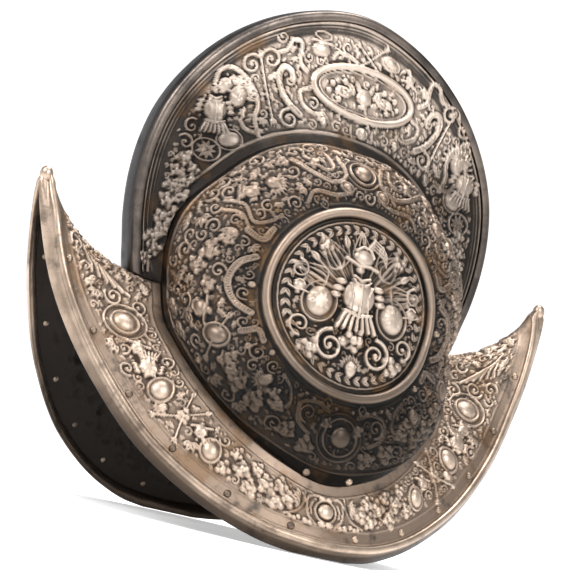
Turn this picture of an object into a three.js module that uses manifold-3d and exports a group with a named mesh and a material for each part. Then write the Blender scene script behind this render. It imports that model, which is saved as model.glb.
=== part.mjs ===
import * as THREE from 'three';
import Module from 'manifold-3d';

// Morion helmet, millimetres, +Z up. It stands on the lowest points of its brim. The tips lie along X, the
// front tip at -X, and the two embossed halves mirror each other across the plane y = 0.

const HALF_LENGTH = 175;
const SHEET = 1.2;
const SEAM_GAP = 0.15;
const PIECE_GAP = 0.35;
const EDGE_CLEARANCE = 0.25;

// Outer edge of the brim, front half: s runs from the tip to the middle of the side, x = -175 cos(90 s).
const EDGE = [
  // s, half width, height
  [0.0, 0.4, 177.5],
  [0.12, 6.4, 153.7],
  [0.28, 19.9, 111.4],
  [0.45, 41.8, 68.6],
  [0.62, 64.0, 32.5],
  [0.8, 87.0, 8.6],
  [0.9, 97.8, 1.6],
  [1.0, 102.5, -0.6],
];

// Foot of the bowl where it meets the brim, front half, from the comb's foot to the middle of the side.
const BOWL_FOOT = [
  // k, half length, half width, height
  [0.0, 93.0, 15.0, 131.0],
  [0.13, 92.0, 26.0, 113.0],
  [0.27, 86.0, 43.0, 97.0],
  [0.54, 62.5, 67.5, 69.0],
  [0.78, 33.0, 86.0, 49.5],
  [1.0, 0.0, 91.5, 40.3],
];

// The comb's outline and the arc where its wall meets the bowl, as radii about one centre on the axis.
const COMB_CENTRE_Z = 167.3;
const COMB_CROWN = [
  // angle above the horizontal, radius
  [-18.4, 115.3],
  [-10.0, 115.5],
  [0.0, 118.2],
  [10.0, 122.2],
  [20.0, 126.9],
  [30.0, 131.7],
  [45.0, 137.4],
  [60.0, 143.0],
  [75.0, 147.9],
  [90.0, 151.2],
];
const BOWL_ARC = [
  // angle above the horizontal, radius, half width
  [-21.3, 99.8, 15.0],
  [0.0, 95.9, 17.0],
  [25.0, 81.3, 19.5],
  [50.0, 74.6, 22.0],
  [70.0, 70.6, 23.5],
  [90.0, 68.6, 24.0],
];
const ARC_FOOT_ANGLE = -21.3;
const CROWN_FOOT_ANGLE = -18.4;
const WALL_TOP_HALF_WIDTH = 7.3;
const WALL_INSET = 3.6;
const WALL_SWEEP = 2.2;

// Bowl half width on the middle line, by height.
const BOWL_MIDDLE = [
  // height, half width
  [40.3, 91.5],
  [55.0, 94.0],
  [69.0, 94.5],
  [100.0, 89.0],
  [143.0, 79.0],
  [180.0, 70.5],
  [200.0, 63.0],
  [218.0, 51.5],
  [230.0, 36.5],
  [235.9, 24.0],
];
const BOWL_FULLNESS = 2.4;

// Crest line of the brim ahead of the comb, in the plane y = 0.
const CREST = [
  // distance along x, height
  [106.6, 131.8],
  [115.0, 132.4],
  [127.0, 136.8],
  [140.0, 144.4],
  [152.0, 154.4],
  [160.0, 163.5],
  [165.0, 171.0],
  [168.6, 177.5],
];

// Turned edge: how far it stands out past the bead, and how far it is turned under.
const TURN_OUT = 6;
const TURN_UNDER = 6;
const TURN_START = 0.16;
const BEAD_OUT = 1.5;
const BEAD_LOW = 0.3;
const BEAD_CROWN = [0.2, -1.9];
const BEAD_HEIGHT = 1.9;
const BEAD_IN = -3;
const LIP_OUT = 0.5;
const LIP_THICK = 1.2;
const TIP_KNOB_RADII = [3.3, 3.5, 5.0];
const TIP_KNOB_OUT = 2.9;
const TIP_START = 150;

const MEDALLION_Z = 143.5;
const MEDALLION_RADIUS = 54.5;
const MEDALLION_SQUASH = 0.965;
const MEDALLION_RING_WIDTH = 6.4;
const MEDALLION_RING_HEIGHT = 3.4;

const OVAL_X = 9;
const OVAL_Z = 271;
const OVAL_RADII = [34.5, 15.5];
const OVAL_RING_WIDTH = 4.2;
const OVAL_RING_HEIGHT = 2.2;

const RAISED_FOOT = 0.8;
const BOSSES = [
  // height, ring radius, ring height, dome radius, dome height
  [218.0, 8.0, 1.8, 5.0, 3.4],
  [69.0, 11.0, 1.8, 6.0, 4.0],
];
const BRIM_BOSS = [0, 7.2, 1.6, 5.2, 3.4];
const BRIM_BOSS_AT = { s: 0.985, inset: 21 };

const RIM_SECTION = [
  // radius off the crown line, half width
  [0.0, 4.8],
  [-1.3, 9.3],
  [-6.4, 9.3],
  [-6.4, 7.9],
  [-2.6, 7.9],
];
const RIM_STEPS = 44;
const RIM_FOOT_Z = 133.3;

const RIVET_RADIUS = 2.1;
const RIVET_HEIGHT = 1.4;
const RIVET_SHANK = 1.0;
const RIVET_HOLE = 1.35;
const RIVET_SEAT = 2.45;
const BRIM_RIVET_STEPS = [0.212, 0.367, 0.505, 0.638, 0.775, 0.92];
const BRIM_RIVET_INSET = 6;
const BOWL_RIVETS = [
  // half length, height above the foot line
  [14.0, 2.6],
  [80.0, 4.5],
];

const ARC_STEPS = 28;
const WALL_ROWS = 4;
const FOOT_STEPS = 11;
const BRIM_ROWS = 4;

const group = new THREE.Group();
group.name = 'morion_helmet';

const wasm = await Module();
wasm.setup();

const sheetMaterial = new THREE.MeshStandardMaterial({ color: 0x8f7a6c, roughness: 0.42, metalness: 0.9 });
const rimMaterial = new THREE.MeshStandardMaterial({ color: 0x5d5753, roughness: 0.45, metalness: 0.9 });
const edgeMaterial = new THREE.MeshStandardMaterial({ color: 0xa08878, roughness: 0.4, metalness: 0.9 });
const rivetMaterial = new THREE.MeshStandardMaterial({ color: 0x9a8476, roughness: 0.4, metalness: 0.9 });

// Smooth curve through the rows of a table: the value in `column` against the first column.
function smooth(rows, column) {
  const t = rows.map((row) => row[0]);
  const v = rows.map((row) => row[column]);
  const last = rows.length - 1;
  const run = [];
  for (let i = 0; i < last; i += 1) {
    run.push((v[i + 1] - v[i]) / (t[i + 1] - t[i]));
  }
  const slope = v.map((_, i) => {
    if (i === 0) {
      return run[0];
    }
    if (i === last) {
      return run[last - 1];
    }
    return run[i - 1] * run[i] <= 0 ? 0 : (2 * run[i - 1] * run[i]) / (run[i - 1] + run[i]);
  });
  return (x) => {
    const q = Math.min(Math.max(x, t[0]), t[last]);
    let i = 0;
    while (i < last - 1 && q > t[i + 1]) {
      i += 1;
    }
    const span = t[i + 1] - t[i];
    const f = (q - t[i]) / span;
    const g = 1 - f;
    return (1 + 2 * f) * g * g * v[i] + f * g * g * span * slope[i]
      + f * f * (3 - 2 * f) * v[i + 1] - f * f * g * span * slope[i + 1];
  };
}

// The same table carried past its last row by mirroring, so the curve is level there.
function mirrored(rows) {
  const end = rows[rows.length - 1][0];
  const back = rows.slice(0, -1).reverse();
  return rows.concat(back.map((row) => [2 * end - row[0], ...row.slice(1)]));
}

function blend(a, b, f) {
  return a.map((value, i) => value + (b[i] - value) * f);
}

function step(x) {
  const f = Math.min(Math.max(x, 0), 1);
  return f * f * (3 - 2 * f);
}

const edgeWidth = smooth(mirrored(EDGE), 1);
const edgeHeight = smooth(mirrored(EDGE), 2);
const footLength = smooth(BOWL_FOOT, 1);
const footWidth = smooth(mirrored(BOWL_FOOT), 2);
const footHeight = smooth(mirrored(BOWL_FOOT), 3);
const crownRadius = smooth(mirrored(COMB_CROWN), 1);
const arcRadius = smooth(mirrored(BOWL_ARC), 1);
const arcWidth = smooth(mirrored(BOWL_ARC), 2);
const middleWidth = smooth(BOWL_MIDDLE, 1);
const crestHeight = smooth(CREST, 1);

// Points on the near half (y < 0). Positions along the helmet run from 0 at the front to 2 at the back.
function edgePoint(s) {
  return [-HALF_LENGTH * Math.cos(s * Math.PI / 2), -edgeWidth(s), edgeHeight(s)];
}

function footPoint(k) {
  if (k === 0 || k === 2) {
    return arcPoint(k / 2);
  }
  const x = k <= 1 ? -footLength(k) : footLength(2 - k);
  return [x, -footWidth(k), footHeight(k)];
}

function polar(angle, radius) {
  const a = THREE.MathUtils.degToRad(angle);
  return [-radius * Math.cos(a), COMB_CENTRE_Z + radius * Math.sin(a)];
}

function arcPoint(w) {
  const angle = ARC_FOOT_ANGLE + w * (180 - 2 * ARC_FOOT_ANGLE);
  const [x, z] = polar(angle, arcRadius(angle));
  return [x, -arcWidth(angle), z];
}

function crownPoint(w, inset) {
  const angle = CROWN_FOOT_ANGLE + w * (180 - 2 * CROWN_FOOT_ANGLE);
  const [x, z] = polar(angle, crownRadius(angle) - inset);
  return [x, -WALL_TOP_HALF_WIDTH, z];
}

function wallPoint(w, v) {
  const top = crownPoint(w, WALL_INSET);
  const low = arcPoint(w);
  const flat = blend(top, low, v);
  return [flat[0], top[1] + (low[1] - top[1]) * Math.pow(v, WALL_SWEEP), flat[2]];
}

// Half length and half width of the bowl's outline at a height, looked up on fine copies of its two edges.
const OUTLINE_STEPS = 400;
const outline = [];
for (let i = 0; i <= OUTLINE_STEPS; i += 1) {
  const [x, y, z] = footPoint(1 - i / OUTLINE_STEPS);
  outline.push([z, -x, -y]);
}
for (let i = 1; i <= OUTLINE_STEPS; i += 1) {
  const [x, y, z] = arcPoint(i / OUTLINE_STEPS / 2);
  outline.push([z, -x, -y]);
}

function outlineAt(z) {
  let i = 0;
  while (i < outline.length - 2 && z > outline[i + 1][0]) {
    i += 1;
  }
  const f = (z - outline[i][0]) / Math.max(outline[i + 1][0] - outline[i][0], 1e-9);
  return blend(outline[i], outline[i + 1], Math.min(Math.max(f, 0), 1));
}

function bowlWidth(x, z) {
  const [, length, side] = outlineAt(z);
  const across = Math.min(Math.abs(x) / Math.max(length, 1e-6), 1);
  return side + (middleWidth(z) - side) * Math.sqrt(1 - Math.pow(across, BOWL_FULLNESS));
}

function wallWidth(x, z) {
  const angle = THREE.MathUtils.radToDeg(Math.atan2(z - COMB_CENTRE_Z, -x));
  const radius = Math.hypot(x, z - COMB_CENTRE_Z);
  const top = crownRadius(angle) - WALL_INSET;
  const v = Math.min(Math.max((top - radius) / (top - arcRadius(angle)), 0), 1);
  return WALL_TOP_HALF_WIDTH + (arcWidth(angle) - WALL_TOP_HALF_WIDTH) * Math.pow(v, WALL_SWEEP);
}

// Columns of the brim: an inner point on the bowl or comb foot, and its place s on the outer edge.
const FOOT_START = 0.2;
const columns = [];
columns.push({ s: 0, inner: [-106.6, -SEAM_GAP, 131.8] });
for (let i = 0; i <= WALL_ROWS; i += 1) {
  columns.push({ s: 0.07 + i * (FOOT_START - 0.07) / WALL_ROWS, inner: wallPoint(0, i / WALL_ROWS) });
}
for (let i = 1; i <= FOOT_STEPS; i += 1) {
  const k = i / FOOT_STEPS;
  columns.push({ s: FOOT_START + (1 - FOOT_START) * k, inner: footPoint(k) });
}
const quarter = columns.length - 1;
for (let i = quarter - 1; i >= 0; i -= 1) {
  const { s, inner } = columns[i];
  columns.push({ s: 2 - s, inner: [-inner[0], inner[1], inner[2]] });
}

// Frame at the edge for each column: along it, outward across the brim, and off the sheet.
for (const column of columns) {
  const edge = new THREE.Vector3(...edgePoint(column.s));
  const ahead = new THREE.Vector3(...edgePoint(Math.min(column.s + 0.02, 2)));
  const behind = new THREE.Vector3(...edgePoint(Math.max(column.s - 0.02, 0)));
  const along = ahead.sub(behind).normalize();
  const out = edge.clone().sub(new THREE.Vector3(...column.inner));
  out.addScaledVector(along, -out.dot(along)).normalize();
  if (column.s === 0 || column.s === 2) {
    along.y = 0;
    out.y = 0;
    along.normalize();
    out.addScaledVector(along, -out.dot(along)).normalize();
  }
  const off = new THREE.Vector3().crossVectors(out, along).normalize();
  const near = Math.min(column.s, 2 - column.s);
  const under = TURN_UNDER * step(near / TURN_START);
  const bead = edge.clone().addScaledVector(out, -TURN_OUT).addScaledVector(off, under);
  if (column.s === 0 || column.s === 2) {
    bead.y = -SEAM_GAP;
  }
  Object.assign(column, { along, out, off, under, bead });
}

// Rows of one column, from the bowl's foot to just short of the bead's line.
const SHEET_SHORT = 0.7;
function brimPoint(column, t) {
  const end = column.bead.clone().addScaledVector(column.out, -SHEET_SHORT);
  const point = new THREE.Vector3(...column.inner).lerp(end, t);
  const near = Math.min(column.s, 2 - column.s);
  const tip = columns[0];
  const tipEnd = tip.bead.clone().addScaledVector(tip.out, -SHEET_SHORT);
  const straight = new THREE.Vector3(...tip.inner).lerp(tipEnd, t);
  const dip = crestHeight(-straight.x) - straight.z;
  const weight = Math.pow(1 - near, 5);
  point.z += dip * weight;
  if (near === 0) {
    point.y = -SEAM_GAP;
  }
  return point.toArray();
}

// A sheet's surface, built up from patches whose shared edges are merged by position.
function surface() {
  const points = [];
  const faces = [];
  const places = new Map();
  const place = (point) => {
    const key = point.map((value) => Math.round(value * 1000)).join(',');
    if (!places.has(key)) {
      places.set(key, points.length);
      points.push(point);
    }
    return places.get(key);
  };
  const face = (a, b, c) => {
    if (a !== b && b !== c && a !== c) {
      faces.push([a, b, c]);
    }
  };
  const patch = (grid) => {
    const ids = grid.map((line) => line.map(place));
    for (let i = 0; i < ids.length - 1; i += 1) {
      for (let j = 0; j < ids[i].length - 1; j += 1) {
        face(ids[i][j], ids[i][j + 1], ids[i + 1][j + 1]);
        face(ids[i][j], ids[i + 1][j + 1], ids[i + 1][j]);
      }
    }
  };
  return { points, faces, places, patch };
}

// A point on the bowl, raised off it along its normal.
function bowlPoint(x, z, height) {
  const normal = bowlNormal(x, z);
  return [x + normal[0] * height, -bowlWidth(x, z) + normal[1] * height, z + normal[2] * height];
}

function bowlNormal(x, z) {
  const d = 0.5;
  const slopeX = (bowlWidth(x + d, z) - bowlWidth(x - d, z)) / (2 * d);
  const slopeZ = (bowlWidth(x, z + d) - bowlWidth(x, z - d)) / (2 * d);
  return new THREE.Vector3(-slopeX, -1, -slopeZ).normalize().toArray();
}

// Rows of the bowl, from its outline inward to the middle of the medallion. Each row is either a share of
// the way from the medallion's foot to the outline, or a share of the medallion's radius with a height.
const ringIn = (MEDALLION_RADIUS - MEDALLION_RING_WIDTH / 2) / MEDALLION_RADIUS;
const ringOut = (MEDALLION_RADIUS + MEDALLION_RING_WIDTH / 2) / MEDALLION_RADIUS;
const ringTop = MEDALLION_RING_WIDTH * 0.22 / MEDALLION_RADIUS;
const OUTER_ROWS = [0.93, 0.78, 0.54, 0.27];
const FIELD_ROWS = [0.66, 0.34, 0];
const RING_ROWS = [
  [ringOut, 0],
  [1 + ringTop, MEDALLION_RING_HEIGHT],
  [1 - ringTop, MEDALLION_RING_HEIGHT],
  [ringIn, 0],
];

const loop = [];
for (let i = 0; i < ARC_STEPS; i += 1) {
  loop.push(arcPoint(i / ARC_STEPS));
}
for (let i = 0; i < 2 * FOOT_STEPS; i += 1) {
  loop.push(footPoint(2 - i / FOOT_STEPS));
}
loop.push(loop[0]);

function medallionPoint(rimPoint, share, height) {
  const turn = Math.atan2((rimPoint[2] - MEDALLION_Z) / MEDALLION_SQUASH, rimPoint[0]);
  const x = MEDALLION_RADIUS * share * Math.cos(turn);
  const z = MEDALLION_Z + MEDALLION_RADIUS * MEDALLION_SQUASH * share * Math.sin(turn);
  return bowlPoint(x, z, height);
}

function bowlPatch(outerRows, ringRows, fieldRows) {
  return loop.map((rimPoint) => {
    const foot = medallionPoint(rimPoint, ringOut, 0);
    const line = [rimPoint];
    for (const share of outerRows) {
      const [x, , z] = blend(foot, rimPoint, share);
      line.push(bowlPoint(x, z, 0));
    }
    for (const [share, height] of ringRows) {
      line.push(medallionPoint(rimPoint, share, height));
    }
    for (const share of fieldRows) {
      line.push(medallionPoint(rimPoint, share, 0));
    }
    return line;
  });
}

function halfSurface(outerRows, ringRows, fieldRows) {
  const half = surface();
  const wall = [];
  for (let i = 0; i <= ARC_STEPS; i += 1) {
    const line = [];
    for (let r = 0; r <= WALL_ROWS; r += 1) {
      line.push(r === WALL_ROWS ? arcPoint(i / ARC_STEPS) : wallPoint(i / ARC_STEPS, r / WALL_ROWS));
    }
    wall.push(line);
  }
  half.patch(wall);
  half.patch(bowlPatch(outerRows, ringRows, fieldRows));
  half.patch(columns.map((column) => {
    const line = [];
    for (let r = 0; r <= BRIM_ROWS; r += 1) {
      line.push(brimPoint(column, r / BRIM_ROWS));
    }
    return line;
  }));
  return half;
}

// The sheet's inner face: the same surface moved in by its thickness. On the seam it moves in the seam's plane.
function innerPoints(half) {
  const normals = half.points.map(() => new THREE.Vector3());
  for (const [a, b, c] of half.faces) {
    const p = new THREE.Vector3(...half.points[a]);
    const u = new THREE.Vector3(...half.points[b]).sub(p);
    const v = new THREE.Vector3(...half.points[c]).sub(p);
    const normal = u.cross(v);
    normals[a].add(normal);
    normals[b].add(normal);
    normals[c].add(normal);
  }
  return half.points.map((point, i) => {
    const normal = normals[i].normalize();
    if (point[1] > -SEAM_GAP - 0.001) {
      const inPlane = new THREE.Vector3(normal.x, 0, normal.z);
      const length = Math.max(inPlane.length(), 0.35);
      inPlane.normalize().multiplyScalar(-SHEET / length);
      return [point[0] + inPlane.x, point[1], point[2] + inPlane.z];
    }
    const moved = new THREE.Vector3(...point).addScaledVector(normal, -SHEET);
    moved.y = Math.min(moved.y, -SEAM_GAP);
    return moved.toArray();
  });
}

function toManifold(points, faces) {
  const mesh = new wasm.Mesh({
    numProp: 3,
    vertProperties: new Float32Array(points.flat()),
    triVerts: new Uint32Array(faces.flat()),
  });
  return new wasm.Manifold(mesh);
}

function halfShell() {
  const outer = halfSurface(OUTER_ROWS, RING_ROWS, FIELD_ROWS);
  const inner = halfSurface([0.93, 0.75, 0.45], [[ringOut, 0]], [0.55, 0]);
  const points = outer.points.concat(innerPoints(inner));
  const shift = outer.points.length;
  const faces = outer.faces.concat(inner.faces.map(([a, b, c]) => [a + shift, c + shift, b + shift]));
  const used = new Set();
  for (const [a, b, c] of outer.faces) {
    used.add(`${a},${b}`);
    used.add(`${b},${c}`);
    used.add(`${c},${a}`);
  }
  const partner = (id) => {
    const key = outer.points[id].map((value) => Math.round(value * 1000)).join(',');
    return inner.places.get(key) + shift;
  };
  for (const edge of used) {
    const [a, b] = edge.split(',').map(Number);
    if (!used.has(`${b},${a}`)) {
      faces.push([b, a, partner(a)]);
      faces.push([b, partner(a), partner(b)]);
    }
  }
  return toManifold(points, faces);
}

// A closed body swept through rings of points, with flat ends.
function sweptBody(rings, outlineShape) {
  const points = rings.flat();
  const count = rings[0].length;
  const faces = [];
  for (let i = 0; i < rings.length - 1; i += 1) {
    for (let j = 0; j < count; j += 1) {
      const k = (j + 1) % count;
      faces.push([i * count + j, (i + 1) * count + k, i * count + k]);
      faces.push([i * count + j, (i + 1) * count + j, (i + 1) * count + k]);
    }
  }
  const cap = THREE.ShapeUtils.triangulateShape(outlineShape.map(([x, y]) => new THREE.Vector2(x, y)), []);
  const end = (rings.length - 1) * count;
  for (const [a, b, c] of cap) {
    faces.push([a, b, c]);
    faces.push([end + c, end + b, end + a]);
  }
  return toManifold(points, faces);
}

// A body set on the sheet: its own z axis turned to the sheet's outward normal.
function setOn(body, point, normal) {
  const turn = new THREE.Quaternion().setFromUnitVectors(
    new THREE.Vector3(0, 0, 1),
    new THREE.Vector3(...normal).normalize(),
  );
  const place = new THREE.Matrix4().compose(new THREE.Vector3(...point), turn, new THREE.Vector3(1, 1, 1));
  return body.transform(place.toArray());
}

function turned(profile, segments) {
  const shape = new THREE.LatheGeometry(profile.map(([r, h]) => new THREE.Vector2(r, h)), segments);
  const at = shape.getAttribute('position');
  const index = shape.getIndex();
  const points = [];
  const places = new Map();
  const ids = [];
  for (let i = 0; i < at.count; i += 1) {
    const point = [at.getX(i), -at.getZ(i), at.getY(i)];
    const key = point.map((value) => Math.round(value * 1000)).join(',');
    if (!places.has(key)) {
      places.set(key, points.length);
      points.push(point);
    }
    ids.push(places.get(key));
  }
  const faces = [];
  for (let i = 0; i < index.count; i += 3) {
    const face = [ids[index.getX(i)], ids[index.getX(i + 1)], ids[index.getX(i + 2)]];
    if (new Set(face).size === 3) {
      faces.push(face);
    }
  }
  return toManifold(points, faces);
}

function boss([, ringRadius, ringHeight, domeRadius, domeHeight]) {
  return turned([
    [0, -RAISED_FOOT],
    [ringRadius + 1.3, -RAISED_FOOT],
    [ringRadius, ringHeight],
    [ringRadius - 1.4, 0.6],
    [domeRadius, 0.6],
    [domeRadius * 0.7, domeHeight * 0.75],
    [0, domeHeight],
  ], 10);
}

// The comb's oval ring, a low band following the wall.
const OVAL_STEPS = 28;
function ovalRing() {
  const section = [
    [-OVAL_RING_WIDTH / 2, -RAISED_FOOT],
    [OVAL_RING_WIDTH / 2, -RAISED_FOOT],
    [OVAL_RING_WIDTH / 4, OVAL_RING_HEIGHT],
    [-OVAL_RING_WIDTH / 4, OVAL_RING_HEIGHT],
  ];
  const points = [];
  const faces = [];
  for (let i = 0; i < OVAL_STEPS; i += 1) {
    const a = i * 2 * Math.PI / OVAL_STEPS;
    const out = new THREE.Vector2(Math.cos(a) / OVAL_RADII[0], Math.sin(a) / OVAL_RADII[1]).normalize();
    for (const [across, height] of section) {
      const x = OVAL_X + OVAL_RADII[0] * Math.cos(a) + out.x * across;
      const z = OVAL_Z + OVAL_RADII[1] * Math.sin(a) + out.y * across;
      points.push([x, -wallWidth(x, z) - height, z]);
    }
    for (let j = 0; j < 4; j += 1) {
      const k = (j + 1) % 4;
      const next = ((i + 1) % OVAL_STEPS) * 4;
      faces.push([i * 4 + j, next + k, i * 4 + k]);
      faces.push([i * 4 + j, next + j, next + k]);
    }
  }
  return toManifold(points, faces);
}

// A place on the brim: s along it, and how far it lies in from the bead.
const NORMAL_REACH = 3;
function brimPlace(s, inset) {
  let i = 0;
  while (i < columns.length - 2 && s > columns[i + 1].s) {
    i += 1;
  }
  const f = (s - columns[i].s) / (columns[i + 1].s - columns[i].s);
  const across = (reach) => [columns[i], columns[i + 1]].map((column) => {
    const length = column.bead.distanceTo(new THREE.Vector3(...column.inner));
    return brimPoint(column, 1 - (inset + reach) / length);
  });
  const ends = across(0);
  const high = across(NORMAL_REACH);
  const low = across(-NORMAL_REACH);
  const out = new THREE.Vector3(...blend(low[0], low[1], f)).sub(new THREE.Vector3(...blend(high[0], high[1], f)));
  const along = new THREE.Vector3(...ends[1]).sub(new THREE.Vector3(...ends[0]));
  return { point: blend(ends[0], ends[1], f), normal: out.cross(along).normalize().toArray() };
}

function bowlPlace(x, rise) {
  let k = 0;
  while (footLength(k) > Math.abs(x)) {
    k += 0.002;
  }
  const z = footHeight(k) + rise;
  return { point: bowlPoint(x, z, 0), normal: bowlNormal(x, z) };
}

const rivetPlaces = [];
for (const s of BRIM_RIVET_STEPS.concat(BRIM_RIVET_STEPS.map((value) => 2 - value).reverse())) {
  rivetPlaces.push({ kind: 'brim', ...brimPlace(s, BRIM_RIVET_INSET) });
}
for (const [x, rise] of BOWL_RIVETS) {
  rivetPlaces.push({ kind: 'bowl', ...bowlPlace(-x, rise) });
  rivetPlaces.push({ kind: 'bowl', ...bowlPlace(x, rise) });
}

const rivet = turned([
  [0, -SHEET - 0.2],
  [RIVET_SHANK, -SHEET - 0.2],
  [RIVET_SHANK, PIECE_GAP],
  [RIVET_RADIUS, PIECE_GAP],
  [0, PIECE_GAP + RIVET_HEIGHT],
], 6);
const rivetSeat = wasm.Manifold.cylinder(RIVET_HEIGHT + 1, RIVET_SEAT, RIVET_SEAT, 6)
  .translate([0, 0, PIECE_GAP - EDGE_CLEARANCE]);
const rivetHole = wasm.Manifold.cylinder(2 * SHEET + 1.5, RIVET_HOLE, RIVET_HOLE, 6)
  .translate([0, 0, -SHEET - 1.5])
  .add(rivetSeat)
  .rotate([0, 0, 30]);

let nearShell = halfShell();
for (const place of rivetPlaces) {
  nearShell = nearShell.subtract(setOn(rivetHole, place.point, place.normal));
}
for (const row of BOSSES) {
  nearShell = nearShell.add(setOn(boss(row), bowlPoint(0, row[0], 0), bowlNormal(0, row[0])));
}
const brimMiddle = brimPlace(BRIM_BOSS_AT.s, BRIM_BOSS_AT.inset);
nearShell = nearShell.add(setOn(boss(BRIM_BOSS), brimMiddle.point, brimMiddle.normal));
nearShell = nearShell.add(ovalRing());

// Channel over the comb's edge, its ends cut level just above the brim.
function combRim() {
  const section = RIM_SECTION.map(([r, y]) => [r, -y]).reverse().concat(RIM_SECTION);
  const rings = [];
  for (let i = -1; i <= RIM_STEPS + 1; i += 1) {
    const w = i / RIM_STEPS;
    const here = crownPoint(w, 0);
    const ahead = crownPoint(w + 0.004, 0);
    const behind = crownPoint(w - 0.004, 0);
    const along = new THREE.Vector2(ahead[0] - behind[0], ahead[2] - behind[2]).normalize();
    rings.push(section.map(([r, y]) => [here[0] - along.y * r, y, here[2] + along.x * r]));
  }
  return sweptBody(rings, section).trimByPlane([0, 0, 1], RIM_FOOT_Z);
}

// Turned edge of the brim with its bead: one ring, closed at the tips by a rounded knob. Grown a little, the
// same ring is what the sheets are cut back by, so they never touch it.
function brimEdge(grow) {
  const sectionAt = (under) => [
    [BEAD_OUT + grow, BEAD_LOW],
    [BEAD_CROWN[0], BEAD_HEIGHT + grow],
    [BEAD_CROWN[1], BEAD_HEIGHT + grow],
    [BEAD_IN - grow, PIECE_GAP - grow],
    [-PIECE_GAP - grow, PIECE_GAP - grow],
    [-PIECE_GAP - grow, -SHEET - grow],
    [TURN_OUT - LIP_OUT - grow, -under - LIP_THICK - grow],
    [TURN_OUT + LIP_OUT + grow, LIP_OUT - under],
  ];
  const rings = columns.map(({ bead, out, off, under }) => sectionAt(under).map(([o, n]) => (
    bead.clone().addScaledVector(out, o).addScaledVector(off, n).toArray()
  )));
  const near = sweptBody(rings, sectionAt(0));
  const ends = [columns[0], columns[columns.length - 1]].map(({ bead, out, along }) => {
    const ball = wasm.Manifold.sphere(1, 12).scale(TIP_KNOB_RADII.map((radius) => radius + grow));
    const turn = new THREE.Matrix4().makeBasis(out, new THREE.Vector3(0, -1, 0), along.clone().negate());
    const centre = bead.clone().addScaledVector(out, TIP_KNOB_OUT);
    turn.setPosition(centre.x, 0, centre.z);
    return ball.transform(turn.toArray());
  });
  return near.add(near.mirror([0, 1, 0])).add(ends[0]).add(ends[1]);
}

function addPiece(name, body, material) {
  const mesh = body.getMesh();
  const shape = new THREE.BufferGeometry();
  shape.setAttribute('position', new THREE.BufferAttribute(new Float32Array(mesh.vertProperties), 3));
  shape.setIndex(new THREE.BufferAttribute(new Uint32Array(mesh.triVerts), 1));
  shape.computeVertexNormals();
  const piece = new THREE.Mesh(shape, material);
  piece.name = name;
  group.add(piece);
}

const edgeRoom = brimEdge(EDGE_CLEARANCE);
nearShell = nearShell
  .subtract(edgeRoom.trimByPlane([1, 0, 0], TIP_START))
  .subtract(edgeRoom.trimByPlane([-1, 0, 0], TIP_START));
addPiece('shell_left', nearShell, sheetMaterial);
addPiece('shell_right', nearShell.mirror([0, 1, 0]), sheetMaterial);
addPiece('comb_rim', combRim(), rimMaterial);
addPiece('brim_edge', brimEdge(0).trimByPlane([0, 0, 1], 0), edgeMaterial);

const counts = { brim: 0, bowl: 0 };
for (const side of [1, -1]) {
  for (const { kind, point, normal } of rivetPlaces) {
    counts[kind] += 1;
    const name = `${kind}_rivet_${String(counts[kind]).padStart(2, '0')}`;
    const body = setOn(rivet, point, normal);
    addPiece(name, side === 1 ? body : body.mirror([0, 1, 0]), rivetMaterial);
  }
}

export default group;
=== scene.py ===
import math

import bmesh
import bpy
import numpy as np
from mathutils import Matrix, Vector


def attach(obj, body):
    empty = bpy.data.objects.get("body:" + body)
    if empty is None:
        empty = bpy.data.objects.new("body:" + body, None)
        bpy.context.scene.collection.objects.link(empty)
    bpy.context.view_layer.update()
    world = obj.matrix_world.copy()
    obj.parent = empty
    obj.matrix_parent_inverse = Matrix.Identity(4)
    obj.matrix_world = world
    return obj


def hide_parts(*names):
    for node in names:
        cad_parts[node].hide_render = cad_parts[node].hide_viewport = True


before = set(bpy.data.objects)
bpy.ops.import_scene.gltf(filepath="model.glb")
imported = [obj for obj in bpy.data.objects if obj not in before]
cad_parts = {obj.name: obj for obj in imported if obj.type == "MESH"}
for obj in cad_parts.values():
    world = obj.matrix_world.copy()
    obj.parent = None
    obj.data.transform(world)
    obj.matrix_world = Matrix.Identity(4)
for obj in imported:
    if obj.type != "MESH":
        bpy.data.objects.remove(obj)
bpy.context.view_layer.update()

# The camera, from the side and a little in front, level with the foot of the helmet and rolled so that the
# front tip stands high.
VIEW_TURN = math.radians(-27.1)
VIEW_RISE = math.radians(-3.8)
VIEW_ROLL = math.radians(13.3)
VIEW_TARGET = Vector((-0.0122, -0.0099, 0.1494))
VIEW_DISTANCE = 1.5
FOCAL_LENGTH = 160.1

toward_viewer = Vector((
    math.sin(VIEW_TURN) * math.cos(VIEW_RISE),
    -math.cos(VIEW_TURN) * math.cos(VIEW_RISE),
    math.sin(VIEW_RISE),
))
level_right = Vector((math.cos(VIEW_TURN), math.sin(VIEW_TURN), 0))
level_up = toward_viewer.cross(level_right)
view_right = level_right * math.cos(VIEW_ROLL) + level_up * math.sin(VIEW_ROLL)
view_up = level_up * math.cos(VIEW_ROLL) - level_right * math.sin(VIEW_ROLL)
camera = bpy.data.objects.new("camera", bpy.data.cameras.new("camera"))
bpy.context.collection.objects.link(camera)
camera.data.lens = FOCAL_LENGTH
camera.data.sensor_width = 36
camera.data.clip_start = 0.05
camera.data.clip_end = 60
camera.matrix_world = Matrix.Translation(VIEW_TARGET + toward_viewer * VIEW_DISTANCE) @ Matrix((
    (view_right.x, view_up.x, toward_viewer.x, 0),
    (view_right.y, view_up.y, toward_viewer.y, 0),
    (view_right.z, view_up.z, toward_viewer.z, 0),
    (0, 0, 0, 1),
))
bpy.context.scene.camera = camera

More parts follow.
